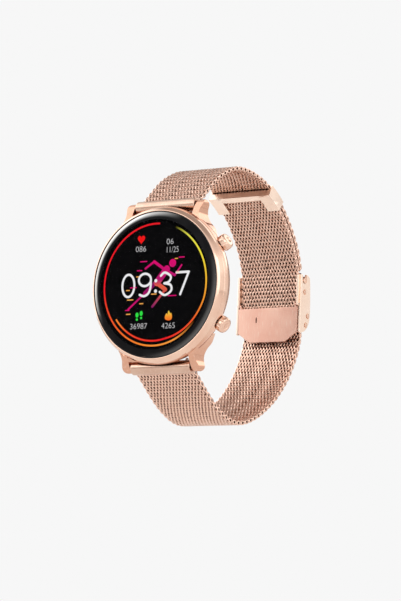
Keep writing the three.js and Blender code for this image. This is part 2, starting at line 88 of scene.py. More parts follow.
def smooth_line(corners: Sequence[Pair], count: int) -> np.ndarray:
    """Draws a smooth curve through corners and divides it into equal steps.

    Args:
        corners: points that the curve passes through.
        count: how many steps.

    Returns:
        An array of count + 1 points.
    """
    knots = np.array(corners, float)
    padded = np.vstack([knots[:1], knots, knots[-1:]])
    fine = []
    for p0, p1, p2, p3 in zip(padded, padded[1:], padded[2:], padded[3:]):
        for t in np.linspace(0, 1, 24, endpoint=False):
            slope_in, slope_out = (p2 - p0) / 2, (p3 - p1) / 2
            fine.append(
                (2 * p1 - 2 * p2 + slope_in + slope_out) * t ** 3
                + (-3 * p1 + 3 * p2 - 2 * slope_in - slope_out) * t ** 2
                + slope_in * t + p1
            )
    curve = np.vstack([fine, knots[-1:]])
    travelled = np.concatenate([[0], np.cumsum(np.linalg.norm(np.diff(curve, axis=0), axis=1))])
    wanted = np.linspace(0, travelled[-1], count + 1)
    return np.column_stack([np.interp(wanted, travelled, curve[:, axis]) for axis in (0, 1)])


def sideways(points: np.ndarray, distance: float) -> np.ndarray:
    """Moves every point of a line to its left hand.

    Args:
        points: the line, as rows of two.
        distance: how far, negative for the right hand.

    Returns:
        The moved line.
    """
    heading = np.gradient(points, axis=0)
    heading /= np.linalg.norm(heading, axis=1, keepdims=True)
    return points + distance * np.column_stack([-heading[:, 1], heading[:, 0]])


def outwards(angle: float) -> Vector:
    """The direction from the dial's middle at an angle in degrees from 3 o'clock."""
    return Vector((math.cos(math.radians(angle)), 0, math.sin(math.radians(angle))))


def stroke(path: Sequence[Pair], width: float) -> list[Pair]:
    """The outline of a pen stroke with round ends.

    Args:
        path: the middle of the stroke.
        width: how wide it is.

    Returns:
        The corners of a closed outline.
    """
    line = np.array(path, float)
    half = width / 2
    tail, head = line[1] - line[0], line[-1] - line[-2]
    tail_angle = math.degrees(math.atan2(tail[1], tail[0]))
    head_angle = math.degrees(math.atan2(head[1], head[0]))
    right, left = sideways(line, -half), sideways(line, half)
    start_cap = arc(tuple(line[0]), half, tail_angle + 120, tail_angle + 240, 5)
    end_cap = arc(tuple(line[-1]), half, head_angle - 60, head_angle + 60, 5)
    return start_cap + [tuple(p) for p in right] + end_cap + [tuple(p) for p in left[::-1]]


@dataclass
class Course:
    """The middle line of a strap as [y, z], which knows on which hand its outer face lies."""

    points: np.ndarray
    outward: float
    travelled: np.ndarray = field(init=False)

    def __post_init__(self) -> None:
        """Measures the line from its start to each point."""
        steps = np.linalg.norm(np.diff(self.points, axis=0), axis=1)
        self.travelled = np.concatenate([[0], np.cumsum(steps)])

    @property
    def length(self) -> float:
        """The length of the line."""
        return float(self.travelled[-1])

    def place(self, along: np.ndarray, lift: np.ndarray) -> np.ndarray:
        """Finds points on or beside the line.

        Args:
            along: distances from the start, which may run past either end.
            lift: distances off the line, positive towards the outer face.

        Returns:
            An array of [y, z] rows.
        """
        heading = np.gradient(self.points, self.travelled, axis=0)
        inside = np.clip(along, 0, self.length)
        spot = np.column_stack([np.interp(inside, self.travelled, self.points[:, a]) for a in (0, 1)])
        way = np.column_stack([np.interp(inside, self.travelled, heading[:, a]) for a in (0, 1)])
        way /= np.linalg.norm(way, axis=1, keepdims=True)
        off = np.column_stack([-way[:, 1], way[:, 0]]) * self.outward
        return spot + way * (along - inside)[:, None] + off * lift[:, None]

    def strip(self, start: float, stop: float, low: float, high: float, steps: int = 12) -> list[Pair]:
        """The outline of a strip that follows the line.

        Args:
            start: where it begins along the line.
            stop: where it ends.
            low: lift of its inner face.
            high: lift of its outer face.
            steps: divisions along it.

        Returns:
            The corners of a closed outline as (y, z).
        """
        along = np.linspace(start, stop, steps + 1)
        near = self.place(along, np.full(steps + 1, low))
        far = self.place(along[::-1], np.full(steps + 1, high))
        return [tuple(p) for p in np.vstack([near, far])]


# ---------------------------------------------------------------- modelling

class Facing(Enum):
    """The axis that a flat outline is thickened along, and how its plane lies."""

    X = "x"
    Y = "y"

    def place(self, depth: float, first: float, second: float) -> Vector:
        """Puts a point of the outline's plane at a depth along the axis."""
        return Vector((depth, first, second)) if self is Facing.X else Vector((first, depth, second))


class Model:
    """A mesh that is shaped by Blender's operators, in millimetres."""

    def __init__(self, obj: bpy.types.Object, name: str) -> None:
        """Takes over a new object and names it."""
        self.obj = obj
        obj.name = name

    @property
    def name(self) -> str:
        """The piece's name."""
        return self.obj.name

    # ---- starting shapes

    @classmethod
    def line(cls, name: str, corners: Sequence[Sequence[float]]) -> "Model":
        """Draws a chain of edges, extruding each corner from the one before.

        Args:
            name: the piece's name.
            corners: points in order.

        Returns:
            The new model.
        """
        bpy.ops.object.select_all(action="DESELECT")
        bpy.ops.mesh.primitive_plane_add(size=1)
        model = cls(bpy.context.object, name)
        path = [Vector(corner) for corner in corners]
        with model.editing():
            bpy.ops.mesh.merge(type="CENTER")
            bpy.ops.transform.translate(value=path[0])
            for before, after in zip(path, path[1:]):
                bpy.ops.mesh.extrude_vertices_move(TRANSFORM_OT_translate={"value": after - before})
        return model

    @classmethod
    def turned(cls, name: str, profile: Sequence[Pair], steps: int = TURN_STEPS) -> "Model":
        """Spins a profile about the Y axis.

        Args:
            name: the piece's name.
            profile: corners as (radius, y). It starts and ends on the axis, or is closed here.
            steps: sides of the turned piece.

        Returns:
            The new model.
        """
        corners = [(radius, y, 0) for radius, y in profile]
        if profile[0][0] > 0 or profile[-1][0] > 0:
            corners.append(corners[0])
        model = cls.line(name, corners)
        with model.editing():
            bpy.ops.mesh.remove_doubles(threshold=WELD)
            bpy.ops.mesh.select_all(action="SELECT")
            bpy.ops.mesh.spin(steps=steps, angle=math.tau, center=(0, 0, 0), axis=(0, 1, 0))
            bpy.ops.mesh.select_all(action="SELECT")
            bpy.ops.mesh.remove_doubles(threshold=WELD)
            bpy.ops.mesh.normals_make_consistent(inside=False)
        return model

    @classmethod
    def plate(cls, name: str, outline: Sequence[Pair], facing: Facing, low: float, high: float) -> "Model":
        """Fills a closed outline and extrudes it.

        Args:
            name: the piece's name.
            outline: corners in the plane, as (y, z) or (x, z).
            facing: the axis of its thickness.
            low: where the thickness starts.
            high: where it ends.

        Returns:
            The new model.
        """
        corners = [facing.place(low, a, b) for a, b in outline]
        model = cls.line(name, corners + corners[:1])
        with model.editing():
            bpy.ops.mesh.remove_doubles(threshold=WELD)
            bpy.ops.mesh.select_all(action="SELECT")
            bpy.ops.mesh.edge_face_add()
            step = facing.place(high - low, 0, 0)
            bpy.ops.mesh.extrude_region_move(TRANSFORM_OT_translate={"value": step})
            bpy.ops.mesh.select_all(action="SELECT")
            bpy.ops.mesh.normals_make_consistent(inside=False)
        return model

    @classmethod
    def rod(cls, name: str, start: Triple, end: Triple, radius: float, sides: int = PIN_STEPS) -> "Model":
        """Makes a round rod between two points.

        Args:
            name: the piece's name.
            start: the middle of one end.
            end: the middle of the other.
            radius: its radius.
            sides: how many flat sides stand for the round.

        Returns:
            The new model.
        """
        first, last = Vector(start), Vector(end)
        turn = (last - first).to_track_quat("Z", "Y").to_euler()
        bpy.ops.object.select_all(action="DESELECT")
        bpy.ops.mesh.primitive_cylinder_add(
            vertices=sides, radius=radius, depth=(last - first).length,
            location=(first + last) / 2, rotation=turn,
        )
        bpy.ops.object.transform_apply()
        return cls(bpy.context.object, name)

    @classmethod
    def block(cls, name: str, low: Triple, high: Triple) -> "Model":
        """Makes a box between two corners.

        Args:
            name: the piece's name.
            low: the corner with the smallest numbers.
            high: the corner with the largest.

        Returns:
            The new model.
        """
        first, last = Vector(low), Vector(high)
        bpy.ops.object.select_all(action="DESELECT")
        bpy.ops.mesh.primitive_cube_add(size=1, location=(first + last) / 2, scale=last - first)
        bpy.ops.object.transform_apply()
        return cls(bpy.context.object, name)

    @classmethod
    def lettering(cls, name: str, figures: str, centre: Pair, size: Pair, depth: float) -> "Model":
        """Flat numerals that face -Y.

        Args:
            name: the piece's name.
            figures: the numerals.
            centre: their middle as (x, z).
            size: their width and height.
            depth: the y of their back.

        Returns:
            The new model.
        """
        bpy.ops.object.select_all(action="DESELECT")
        bpy.ops.object.text_add()
        model = cls(bpy.context.object, name)
        model.obj.data.body = figures
        model.obj.data.resolution_u = 6
        model.obj.data.offset = -0.012
        bpy.ops.object.convert(target="MESH")
        corners = np.array([vertex.co for vertex in model.obj.data.vertices])
        low, high = corners.min(0), corners.max(0)
        middle = (low + high) / 2
        scale = Matrix.Diagonal((size[0] / (high[0] - low[0]), size[1] / (high[1] - low[1]), 1, 1))
        stand = Matrix.Rotation(math.pi / 2, 4, "X")
        shift = Matrix.Translation((centre[0], depth, centre[1]))
        model.obj.data.transform(shift @ stand @ scale @ Matrix.Translation((-middle[0], -middle[1], 0)))
        with model.editing():
            bpy.ops.mesh.remove_doubles(threshold=WELD)
        return model

    # ---- working on the mesh

    @contextlib.contextmanager
    def editing(self) -> Iterator[None]:
        """Edit mode on this piece alone, with everything in it selected."""
        self.activate()
        bpy.ops.object.mode_set(mode="EDIT")
        bpy.ops.mesh.select_mode(type="VERT")
        bpy.ops.mesh.select_all(action="SELECT")
        yield
        bpy.ops.object.mode_set(mode="OBJECT")

    def activate(self) -> None:
        """Makes this the only selected object."""
        bpy.ops.object.select_all(action="DESELECT")
        self.obj.select_set(True)
        bpy.context.view_layer.objects.active = self.obj

    def select_faces(self, wanted: Callable[[Vector, Vector], bool]) -> None:
        """Selects faces, in edit mode.

        Args:
            wanted: tells from a face's middle and its normal whether to take it.
        """
        bpy.ops.mesh.select_mode(type="FACE")
        bpy.ops.mesh.select_all(action="DESELECT")
        bpy.ops.object.mode_set(mode="OBJECT")
        for face in self.obj.data.polygons:
            face.select = wanted(face.center, face.normal)
        bpy.ops.object.mode_set(mode="EDIT")

    def modify(self, kind: str, **settings: object) -> "Model":
        """Adds a modifier and applies it.

        Args:
            kind: the modifier's type.
            settings: its properties, by name.

        Returns:
            This model.
        """
        self.activate()
        modifier = self.obj.modifiers.new(kind.lower(), kind)
        for key, value in settings.items():
            setattr(modifier, key, value)
        bpy.ops.object.modifier_apply(modifier=modifier.name)
        return self

    def round_edges(self, width: float, segments: int = 2, angle: float = 35) -> "Model":
        """Rounds the sharp edges.

        Args:
            width: how wide the rounding is.
            segments: how many flats it has.
            angle: edges sharper than this many degrees are rounded.

        Returns:
            This model.
        """
        return self.modify(
            "BEVEL", width=width, segments=segments, limit_method="ANGLE", angle_limit=math.radians(angle),
        )

    def boolean(self, operation: str, *tools: "Model") -> "Model":
        """Joins to, cuts by or keeps what is common with other models.

        Args:
            operation: UNION, DIFFERENCE or INTERSECT.
            tools: the other models, which are used up.

        Returns:
            This model.
        """
        for tool in tools:
            self.modify("BOOLEAN", operation=operation, object=tool.obj, solver="EXACT")
            bpy.data.objects.remove(tool.obj)
        return self

    def gather(self, *others: "Model") -> "Model":
        """Takes other models into this object as separate solids.

        Args:
            others: the models, which are used up.

        Returns:
            This model.
        """
        self.activate()
        for other in others:
            other.obj.select_set(True)
        if others:
            bpy.ops.object.join()
        return self

    def copy(self, matrix: Matrix, name: str | None = None) -> "Model":
        """Copies the piece with its own mesh.

        Args:
            matrix: where the copy goes.
            name: the copy's name, if it is not the same.

        Returns:
            The copy.
        """
        twin = self.obj.copy()
        twin.data = self.obj.data.copy()
        bpy.context.scene.collection.objects.link(twin)
        twin.data.transform(matrix)
        if matrix.determinant() < 0:
            twin.data.flip_normals()
        return Model(twin, name or self.name)

    def both_sides(self) -> "Model":
        """Adds the mirror image across the plane x = 0."""
        return self.gather(self.copy(Matrix.Scale(-1, 4, Vector((1, 0, 0)))))

    def shade(self, angle: float = 40) -> "Model":
        """Shades smoothly across blunt edges and keeps flat faces flat.

        Args:
            angle: edges sharper than this many degrees stay sharp.

        Returns:
            This model.
        """
        self.activate()
        bpy.ops.object.shade_smooth_by_angle(angle=math.radians(angle))
        return self.modify("WEIGHTED_NORMAL", keep_sharp=True, weight=80)

    def dress(self, *finishes: "Finish") -> "Model":
        """Gives the piece its materials.

        Args:
            finishes: recipes, in the order of the material slots.

        Returns:
            This model.
        """
        self.obj.data.materials.clear()
        for finish in finishes:
            self.obj.data.materials.append(material_of(finish))
        return self

    def settle(self, body: str, slot: str, *replaced: str) -> None:
        """Scales the piece to metres and fastens it.

        Args:
            body: the body that it rides on.
            slot: the record's material slot; not used.
            replaced: the frame's nodes that it stands for.
        """
        self.obj.data.transform(Matrix.Scale(MM, 4))
        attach(self.obj, body)
        if replaced:
            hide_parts(*replaced)
        LOG.info("%s: %d faces, on %s", self.name, len(self.obj.data.polygons), body)


# ---------------------------------------------------------------- shader maths

class Signal:
    """A shader socket whose arithmetic adds Math nodes."""

    def __init__(self, sheet: "Sheet", socket: bpy.types.NodeSocket) -> None:
        """Wraps an output socket of a sheet."""
        self.sheet = sheet
        self.socket = socket

    def __add__(self, other: "Signal | float") -> "Signal":
        """Adds."""
        return self.sheet.maths("ADD", self, other)

    __radd__ = __add__

    def __sub__(self, other: "Signal | float") -> "Signal":
        """Subtracts."""
        return self.sheet.maths("SUBTRACT", self, other)

    def __rsub__(self, other: float) -> "Signal":
        """Subtracts this from a number."""
        return self.sheet.maths("SUBTRACT", other, self)

    def __mul__(self, other: "Signal | float") -> "Signal":
        """Multiplies."""
        return self.sheet.maths("MULTIPLY", self, other)

    def __pow__(self, power: float) -> "Signal":
        """Raises to a power."""
        return self.sheet.maths("POWER", self, power)

    def smooth(self, low: float, high: float) -> "Signal":
        """A smooth step from 0 at low to 1 at high."""
        return Signal(self.sheet, self.sheet.node(
            "ShaderNodeMapRange", {"interpolation_type": "SMOOTHSTEP"},
            {"Value": self, "From Min": low, "From Max": high},
        ).outputs["Result"])


class Sheet:
    """The node sheet of a material or a world."""

    def __init__(self, owner: bpy.types.Material | bpy.types.World) -> None:
        """Clears the nodes of a material or a world.

        Args:
            owner: the material or the world.
        """
        owner.use_nodes = True
        self.tree = owner.node_tree
        self.tree.nodes.clear()

    def node(self, kind: str, settings: dict | None = None, sockets: dict | None = None) -> bpy.types.Node:
        """Adds a node.

        Args:
            kind: the node's type.
            settings: its properties, set first.
            sockets: values or signals for its inputs, by name or number.

        Returns:
            The node.
        """
        made = self.tree.nodes.new(kind)
        for key, value in (settings or {}).items():
            setattr(made, key, value)
        for key, value in (sockets or {}).items():
            if isinstance(value, Signal):
                self.tree.links.new(value.socket, made.inputs[key])
            else:
                made.inputs[key].default_value = value
        return made

    def maths(self, operation: str, first: Signal | float, second: Signal | float) -> Signal:
        """A Math node on two values."""
        return Signal(self, self.node(
            "ShaderNodeMath", {"operation": operation}, {0: first, 1: second},
        ).outputs[0])

    def place(self) -> Signal:
        """The point on the piece, in millimetres."""
        point = self.node("ShaderNodeTexCoord").outputs["Object"]
        return self.stretched(Signal(self, point), (1 / MM, 1 / MM, 1 / MM))

    def stretched(self, vector: Signal, factors: Triple) -> Signal:
        """A vector with each part multiplied by its own factor."""
        return Signal(self, self.node(
            "ShaderNodeVectorMath", {"operation": "MULTIPLY"}, {0: vector, 1: factors},
        ).outputs[0])

    def parts(self, vector: Signal) -> tuple[Signal, Signal, Signal]:
        """A vector's x, y and z."""
        outputs = self.node("ShaderNodeSeparateXYZ", {}, {0: vector}).outputs
        return Signal(self, outputs[0]), Signal(self, outputs[1]), Signal(self, outputs[2])

    def noise(self, vector: Signal, scale: float, detail: float = 2) -> Signal:
        """Soft noise about 0.5.

        Args:
            vector: where it is looked up.
            scale: waves to a millimetre.
            detail: how many finer layers it has.

        Returns:
            The noise.
        """
        return Signal(self, self.node(
            "ShaderNodeTexNoise", {}, {"Vector": vector, "Scale": scale, "Detail": detail},
        ).outputs["Fac"])

    def attribute(self, name: str) -> Signal:
        """A number stored on the mesh."""
        return Signal(self, self.node("ShaderNodeAttribute", {"attribute_name": name}).outputs["Fac"])

    def blend(self, mask: Signal | float, first: Colour | Signal, second: Colour | Signal) -> Signal:
        """Goes from one colour to another.

        Args:
            mask: 0 for the first colour and 1 for the second.
            first: a colour or a signal.
            second: a colour or a signal.

        Returns:
            The mixed colour.
        """
        ends = [end if isinstance(end, Signal) else (*end, 1) for end in (first, second)]
        return Signal(self, self.node(
            "ShaderNodeMix", {"data_type": "RGBA"}, {0: mask, 6: ends[0], 7: ends[1]},
        ).outputs[2])

    def ramp(self, value: Signal, stops: Sequence[tuple[float, Colour]]) -> Signal:
        """Looks a colour up in a row of stops.

        Args:
            value: from 0 to 1.
            stops: positions and their colours.

        Returns:
            The colour.
        """
        made = self.node("ShaderNodeValToRGB", {}, {0: value})
        elements = made.color_ramp.elements
        while len(elements) < len(stops):
            elements.new(1)
        for element, (position, colour) in zip(elements, stops):
            element.position = position
            element.color = (*colour, 1)
        return Signal(self, made.outputs[0])

    def bump(self, height: Signal, depth: float) -> Signal:
        """Turns a height into a normal.

        Args:
            height: from 0 to 1.
            depth: the relief in millimetres.

        Returns:
            The normal.
        """
        return Signal(self, self.node(
            "ShaderNodeBump", {}, {"Height": height, "Distance": depth * MM, "Strength": 1},
        ).outputs[0])

    def surface(self, **sockets: object) -> None:
        """Ends a material in a Principled shader.

        Args:
            sockets: values or signals, named as the sockets are, with _ for a space.
        """
        named = {
            key.replace("_", " "): (*value, 1) if isinstance(value, tuple) else value
            for key, value in sockets.items()
        }
        shader = self.node("ShaderNodeBsdfPrincipled", {}, named)
        output = self.node("ShaderNodeOutputMaterial")
        self.tree.links.new(shader.outputs[0], output.inputs["Surface"])


# ---------------------------------------------------------------- finishes

class Grain(Enum):
    """Which way a metal's fine scratches run, as noise waves to a millimetre along x, y and z."""

    NONE = (0.9, 0.9, 0.9)
    ALONG_X = (0.25, 9.0, 9.0)
    ALONG_Z = (2.6, 0.6, 0.22)


class Finish:
    """A named material recipe."""

    name: str

    def paint(self, sheet: Sheet) -> None:
        """Builds the material's nodes.

        Args:
            sheet: the node sheet of the material.
        """
        raise NotImplementedError


@functools.cache
def material_of(finish: Finish) -> bpy.types.Material:
    """Makes the material of a finish, or finds it if it was made before.

    Args:
        finish: the recipe.

    Returns:
        The material.
    """
    material = bpy.data.materials.new(finish.name)
    finish.paint(Sheet(material))
    return material


@dataclass(frozen=True)
class RoseGold(Finish):
    """Rose-gold plating over steel."""

    name: str
    roughness: float
    grain: Grain = Grain.NONE
    scratch_depth: float = 0.0006
    bright: Colour = (0.88, 0.63, 0.50)
    deep: Colour = (0.82, 0.54, 0.42)
    worn: Colour = (0.94, 0.76, 0.66)
    streaks: float = 0.3
    # ends: the colour of painted shade towards 12 and 6 o'clock, between the two distances below
    ends: Colour | None = None
    lug_shade_from: float = 11.0
    lug_shade_to: float = 18.5

    def paint(self, sheet: Sheet) -> None:
        """Slow changes of tone, handling marks in the gloss, scratches along the grain, and, where set,
        painted shade that darkens the piece towards 12 and 6 o'clock.

        Args:
            sheet: the node sheet of the material.
        """
        place = sheet.place()
        tone = sheet.noise(place, 0.16, 1)
        marks = sheet.noise(place, 0.5, 2)
        scratches = sheet.noise(sheet.stretched(place, self.grain.value), 1.6, 3)
        colour = sheet.blend(tone.smooth(0.3, 0.75), self.deep, self.bright)
        # Painted shade: the colour darkens towards 12 and 6 o'clock, over the lugs.
        if self.ends:
            z = sheet.parts(place)[2]
            colour = sheet.blend(((z * z) ** 0.5).smooth(self.lug_shade_from, self.lug_shade_to), colour, self.ends)
        worn_mask = scratches.smooth(0.52, 0.8) * self.streaks
        sheet.surface(
            Base_Color=sheet.blend(worn_mask, colour, self.worn),
            Metallic=1.0,
            Roughness=self.roughness + (marks - 0.5) * 0.06 + (scratches - 0.5) * 0.10,
            Normal=sheet.bump(scratches, self.scratch_depth),
        )


@dataclass(frozen=True)
class WovenWire(Finish):
    """Plated wire with painted shade that darkens it towards the inside of the weave."""

    name: str
    roughness: float = 0.24
    outer: Colour = (0.94, 0.65, 0.53)
    # inner: the colour of painted shade deep in the weave
    inner: Colour = (0.32, 0.12, 0.065)

    def paint(self, sheet: Sheet) -> None:
        """Painted shade by depth in the weave, with each stretch of wire a little different in tone.

        Args:
            sheet: the node sheet of the material.
        """
        place = sheet.place()
        depth = sheet.attribute("lift").smooth(0.25, 0.95)
        lot = sheet.noise(place, 0.5, 2)
        specks = sheet.noise(place, 6, 2)
        colour = sheet.blend(depth, self.inner, self.outer)
        sheet.surface(
            Base_Color=sheet.blend(lot.smooth(0.35, 0.7) * 0.25, colour, (0.70, 0.40, 0.29)),
            Metallic=1.0,
            Roughness=self.roughness + (specks - 0.5) * 0.16,
            Normal=sheet.bump(specks, 0.002),
        )


@dataclass(frozen=True)
class Moulded(Finish):
    """Rubber, plastic or lacquer with a fine spark-eroded texture."""

    name: str
    colour: Colour
    roughness: float
    texture: float = 0.01
    coat: float = 0.0
    gloss: float = 0.5

    def paint(self, sheet: Sheet) -> None:
        """A speckled tone and a grain in the surface.

        Args:
            sheet: the node sheet of the material.
        """
        place = sheet.place()
        specks = sheet.noise(place, 7, 3)
        cloud = sheet.noise(place, 0.3, 2)
        lighter = tuple(min(1.0, part * 1.25 + 0.01) for part in self.colour)
        sheet.surface(
            Base_Color=sheet.blend(cloud.smooth(0.3, 0.7), self.colour, lighter),
            Roughness=self.roughness + (specks - 0.5) * 0.15,
            Normal=sheet.bump(specks, self.texture),
            Coat_Weight=self.coat,
            Specular_IOR_Level=self.gloss,
        )


@dataclass(frozen=True)
class PlainMetal(Finish):
    """Steel, gold or foil with fine tool marks."""

    name: str
    colour: Colour
    roughness: float
    marks_depth: float = 0.002

    def paint(self, sheet: Sheet) -> None:
        """Tool marks that change the gloss, and a slightly stained tone.

        Args:
            sheet: the node sheet of the material.
        """
        place = sheet.place()
        marks = sheet.noise(sheet.stretched(place, (1, 6, 1)), 2.2, 3)
        stain = sheet.noise(place, 0.4, 2)
        darker = tuple(part * 0.8 for part in self.colour)
        sheet.surface(
            Base_Color=sheet.blend(stain.smooth(0.4, 0.7), self.colour, darker),
            Metallic=1.0,
            Roughness=self.roughness + (marks - 0.5) * 0.2,
            Normal=sheet.bump(marks, self.marks_depth),
        )


@dataclass(frozen=True)
class CircuitLacquer(Finish):
    """A circuit board under green lacquer, with copper tracks showing through."""

    name: str

    def paint(self, sheet: Sheet) -> None:
        """Tracks as a fine brick pattern in a lighter green.

        Args:
            sheet: the node sheet of the material.
        """
        place = sheet.place()
        tracks = Signal(sheet, sheet.node(
            "ShaderNodeTexBrick", {},
            {"Vector": place, "Scale": 0.8, "Mortar Size": 0.03, "Brick Width": 1.6, "Row Height": 0.5},
        ).outputs["Fac"])
        colour = sheet.blend(tracks, (0.012, 0.09, 0.04), (0.05, 0.22, 0.09))
        sheet.surface(
            Base_Color=colour,
            Roughness=0.35 + tracks * 0.1,
            Normal=sheet.bump(tracks, 0.03),
            Coat_Weight=0.4,
        )


@dataclass(frozen=True)
class CoverGlass(Finish):
    """Glass that is clear over the screen, printed black round its rim, with a painted reflection on its
    shoulder.
    """

    name: str
    clear_radius: float
    rim_radius: float

    def paint(self, sheet: Sheet) -> None:
        """The print's edge is a smooth step of the distance from the axis.

        Args:
            sheet: the node sheet of the material.
        """
        x, _, z = sheet.parts(sheet.place())
        distance = (x * x + z * z) ** 0.5
        print_mask = distance.smooth(self.clear_radius, self.clear_radius + 0.25)
        # The next three masks paint a reflection on the shoulder through the coat weight: strong at upper
        # left, faint at lower right.
        shoulder = distance.smooth(self.rim_radius - 1.5, self.rim_radius - 0.2)
        painted_reflection_upper_left = ((z * 0.66 - x * 0.75) * (1 / self.rim_radius)).smooth(0.25, 0.85)
        painted_reflection_lower_right = ((x * 0.8 - z * 0.6) * (1 / self.rim_radius)).smooth(0.4, 1.0)
        smears = sheet.noise(sheet.place(), 0.25, 3)
        sheet.surface(
            Base_Color=sheet.blend(smears, (0.004, 0.004, 0.005), (0.012, 0.012, 0.013)),
            Roughness=0.03 + smears * 0.04,
            Alpha=0.03 + print_mask * 0.97,
            Coat_Weight=shoulder * (painted_reflection_upper_left + painted_reflection_lower_right * 0.2),
            Coat_IOR=5.5,
            Coat_Roughness=0.06,
            Specular_IOR_Level=0.02,
        )


@dataclass(frozen=True)
class SensorGlass(Finish):
    """Smoked glass over the heart-rate sensor, clearer over its lamps."""

    name: str

    def paint(self, sheet: Sheet) -> None:
        """Dark print with a clearer disc in the middle.

        Args:
            sheet: the node sheet of the material.
        """
        x, _, z = sheet.parts(sheet.place())
        distance = (x * x + z * z) ** 0.5
        rim = distance.smooth(4.2, 4.6)
        smears = sheet.noise(sheet.place(), 0.3, 3)
        sheet.surface(
            Base_Color=sheet.blend(rim, (0.03, 0.012, 0.01), (0.006, 0.006, 0.007)),
            Roughness=0.04 + smears * 0.06,
            Alpha=0.55 + rim * 0.45,
        )


@dataclass(frozen=True)
class ScreenPanel(Finish):
    """The dark face of the screen."""

    name: str

    def paint(self, sheet: Sheet) -> None:
        """A faint grid of picture cells on black.

        Args:
            sheet: the node sheet of the material.
        """
        cells = Signal(sheet, sheet.node(
            "ShaderNodeTexChecker", {}, {"Vector": sheet.place(), "Scale": 12},
        ).outputs["Fac"])
        sheet.surface(
            Base_Color=sheet.blend(cells, (0.002, 0.002, 0.002), (0.004, 0.004, 0.005)),
            Roughness=0.6 + cells * 0.05,
            Specular_IOR_Level=0.0,
        )


@dataclass(frozen=True)
class SweepGlow(Finish):
    """Light from a screen whose colour changes with the angle about the dial, or with height."""

    name: str
    stops: tuple[tuple[float, Colour], ...]
    first: float
    last: float
    round_dial: bool = True
    strength: float = 1.0

    def paint(self, sheet: Sheet) -> None:
        """Looks the colour up by angle in degrees, counted from 3 o'clock, or by z in millimetres.

        Args:
            sheet: the node sheet of the material.
        """
        x, _, z = sheet.parts(sheet.place())
        if self.round_dial:
            angle = sheet.maths("ARCTAN2", z, x) * math.degrees(1)
            value = sheet.maths("WRAP", angle, self.first + 360)
            value.socket.node.inputs[2].default_value = self.first
        else:
            value = z
        span = (value - self.first) * (1 / (self.last - self.first))
        sheet.surface(
            Base_Color=(0.0, 0.0, 0.0), Roughness=0.5, Specular_IOR_Level=0.0,
            Emission_Color=sheet.ramp(span, self.stops), Emission_Strength=self.strength,
        )


POLISHED = RoseGold("rose_gold_polished", 0.10)
# The case's plating carries painted shade that darkens it towards 12 and 6 o'clock, over the lugs.
CASE_PLATING = RoseGold("rose_gold_case", 0.12, ends=(0.70, 0.39, 0.275))
# A darker copy of the polished rose gold: painted shade on the end links.
LINK_PLATING = RoseGold("rose_gold_link", 0.18, bright=(0.68, 0.48, 0.38), deep=(0.62, 0.41, 0.32))
SATIN = RoseGold("rose_gold_satin", 0.26, Grain.NONE, 0.0015)
BRUSHED_LONG = RoseGold(
    "rose_gold_brushed_lengthwise", 0.38, Grain.ALONG_Z, 0.012,
    bright=(0.90, 0.57, 0.46), deep=(0.84, 0.49, 0.39), streaks=0.9,
)
# A paler copy of the rose gold with a satin gloss: painted highlight on the clasp walls and the tail cap.
PALE = RoseGold(
    "rose_gold_satin_painted_highlight", 0.32, Grain.NONE, 0.001, bright=(0.99, 0.80, 0.68), deep=(0.97, 0.76, 0.63),
)
BRUSHED_CROSS = RoseGold("rose_gold_brushed_crosswise", 0.28, Grain.ALONG_X, 0.004)
WIRE = WovenWire("woven_rose_gold_wire")
# A dark sheet inside the weave: painted shadow behind the holes.
WEAVE_CORE = Moulded("shadow_inside_the_weave", (0.035, 0.010, 0.004), 0.8, 0.01, 0.0, 0.05)
RUBBER = Moulded("black_rubber", (0.008, 0.008, 0.008), 0.75)
BACK_PLASTIC = Moulded("black_moulded_plastic", (0.014, 0.014, 0.015), 0.42, 0.02, 0.1)
GLASS = CoverGlass("printed_cover_glass", 18.1, GLASS_RADIUS)
WINDOW = SensorGlass("smoked_sensor_glass")
PANEL = ScreenPanel("dark_screen_panel")
STEEL = PlainMetal("stainless_steel", (0.62, 0.62, 0.63), 0.28)
GOLD = PlainMetal("gold_plated_contact", (0.90, 0.66, 0.25), 0.2)
FOIL = PlainMetal("battery_foil", (0.55, 0.56, 0.58), 0.38, 0.02)
BOARD = CircuitLacquer("green_circuit_board")
FILM = Moulded("amber_flex_film", (0.45, 0.18, 0.03), 0.35, 0.003, 0.4)
LAMP = Moulded("green_lamp_resin", (0.12, 0.75, 0.22), 0.25, 0.002, 0.6)

RED: Colour = (0.86, 0.012, 0.02)
ORANGE: Colour = (0.95, 0.26, 0.03)
YELLOW: Colour = (0.90, 0.80, 0.05)
BLACK: Colour = (0.0, 0.0, 0.0)
MAGENTA: Colour = (0.72, 0.005, 0.16)
PURPLE: Colour = (0.22, 0.01, 0.12)


# ---------------------------------------------------------------- front glass, bezel and screen

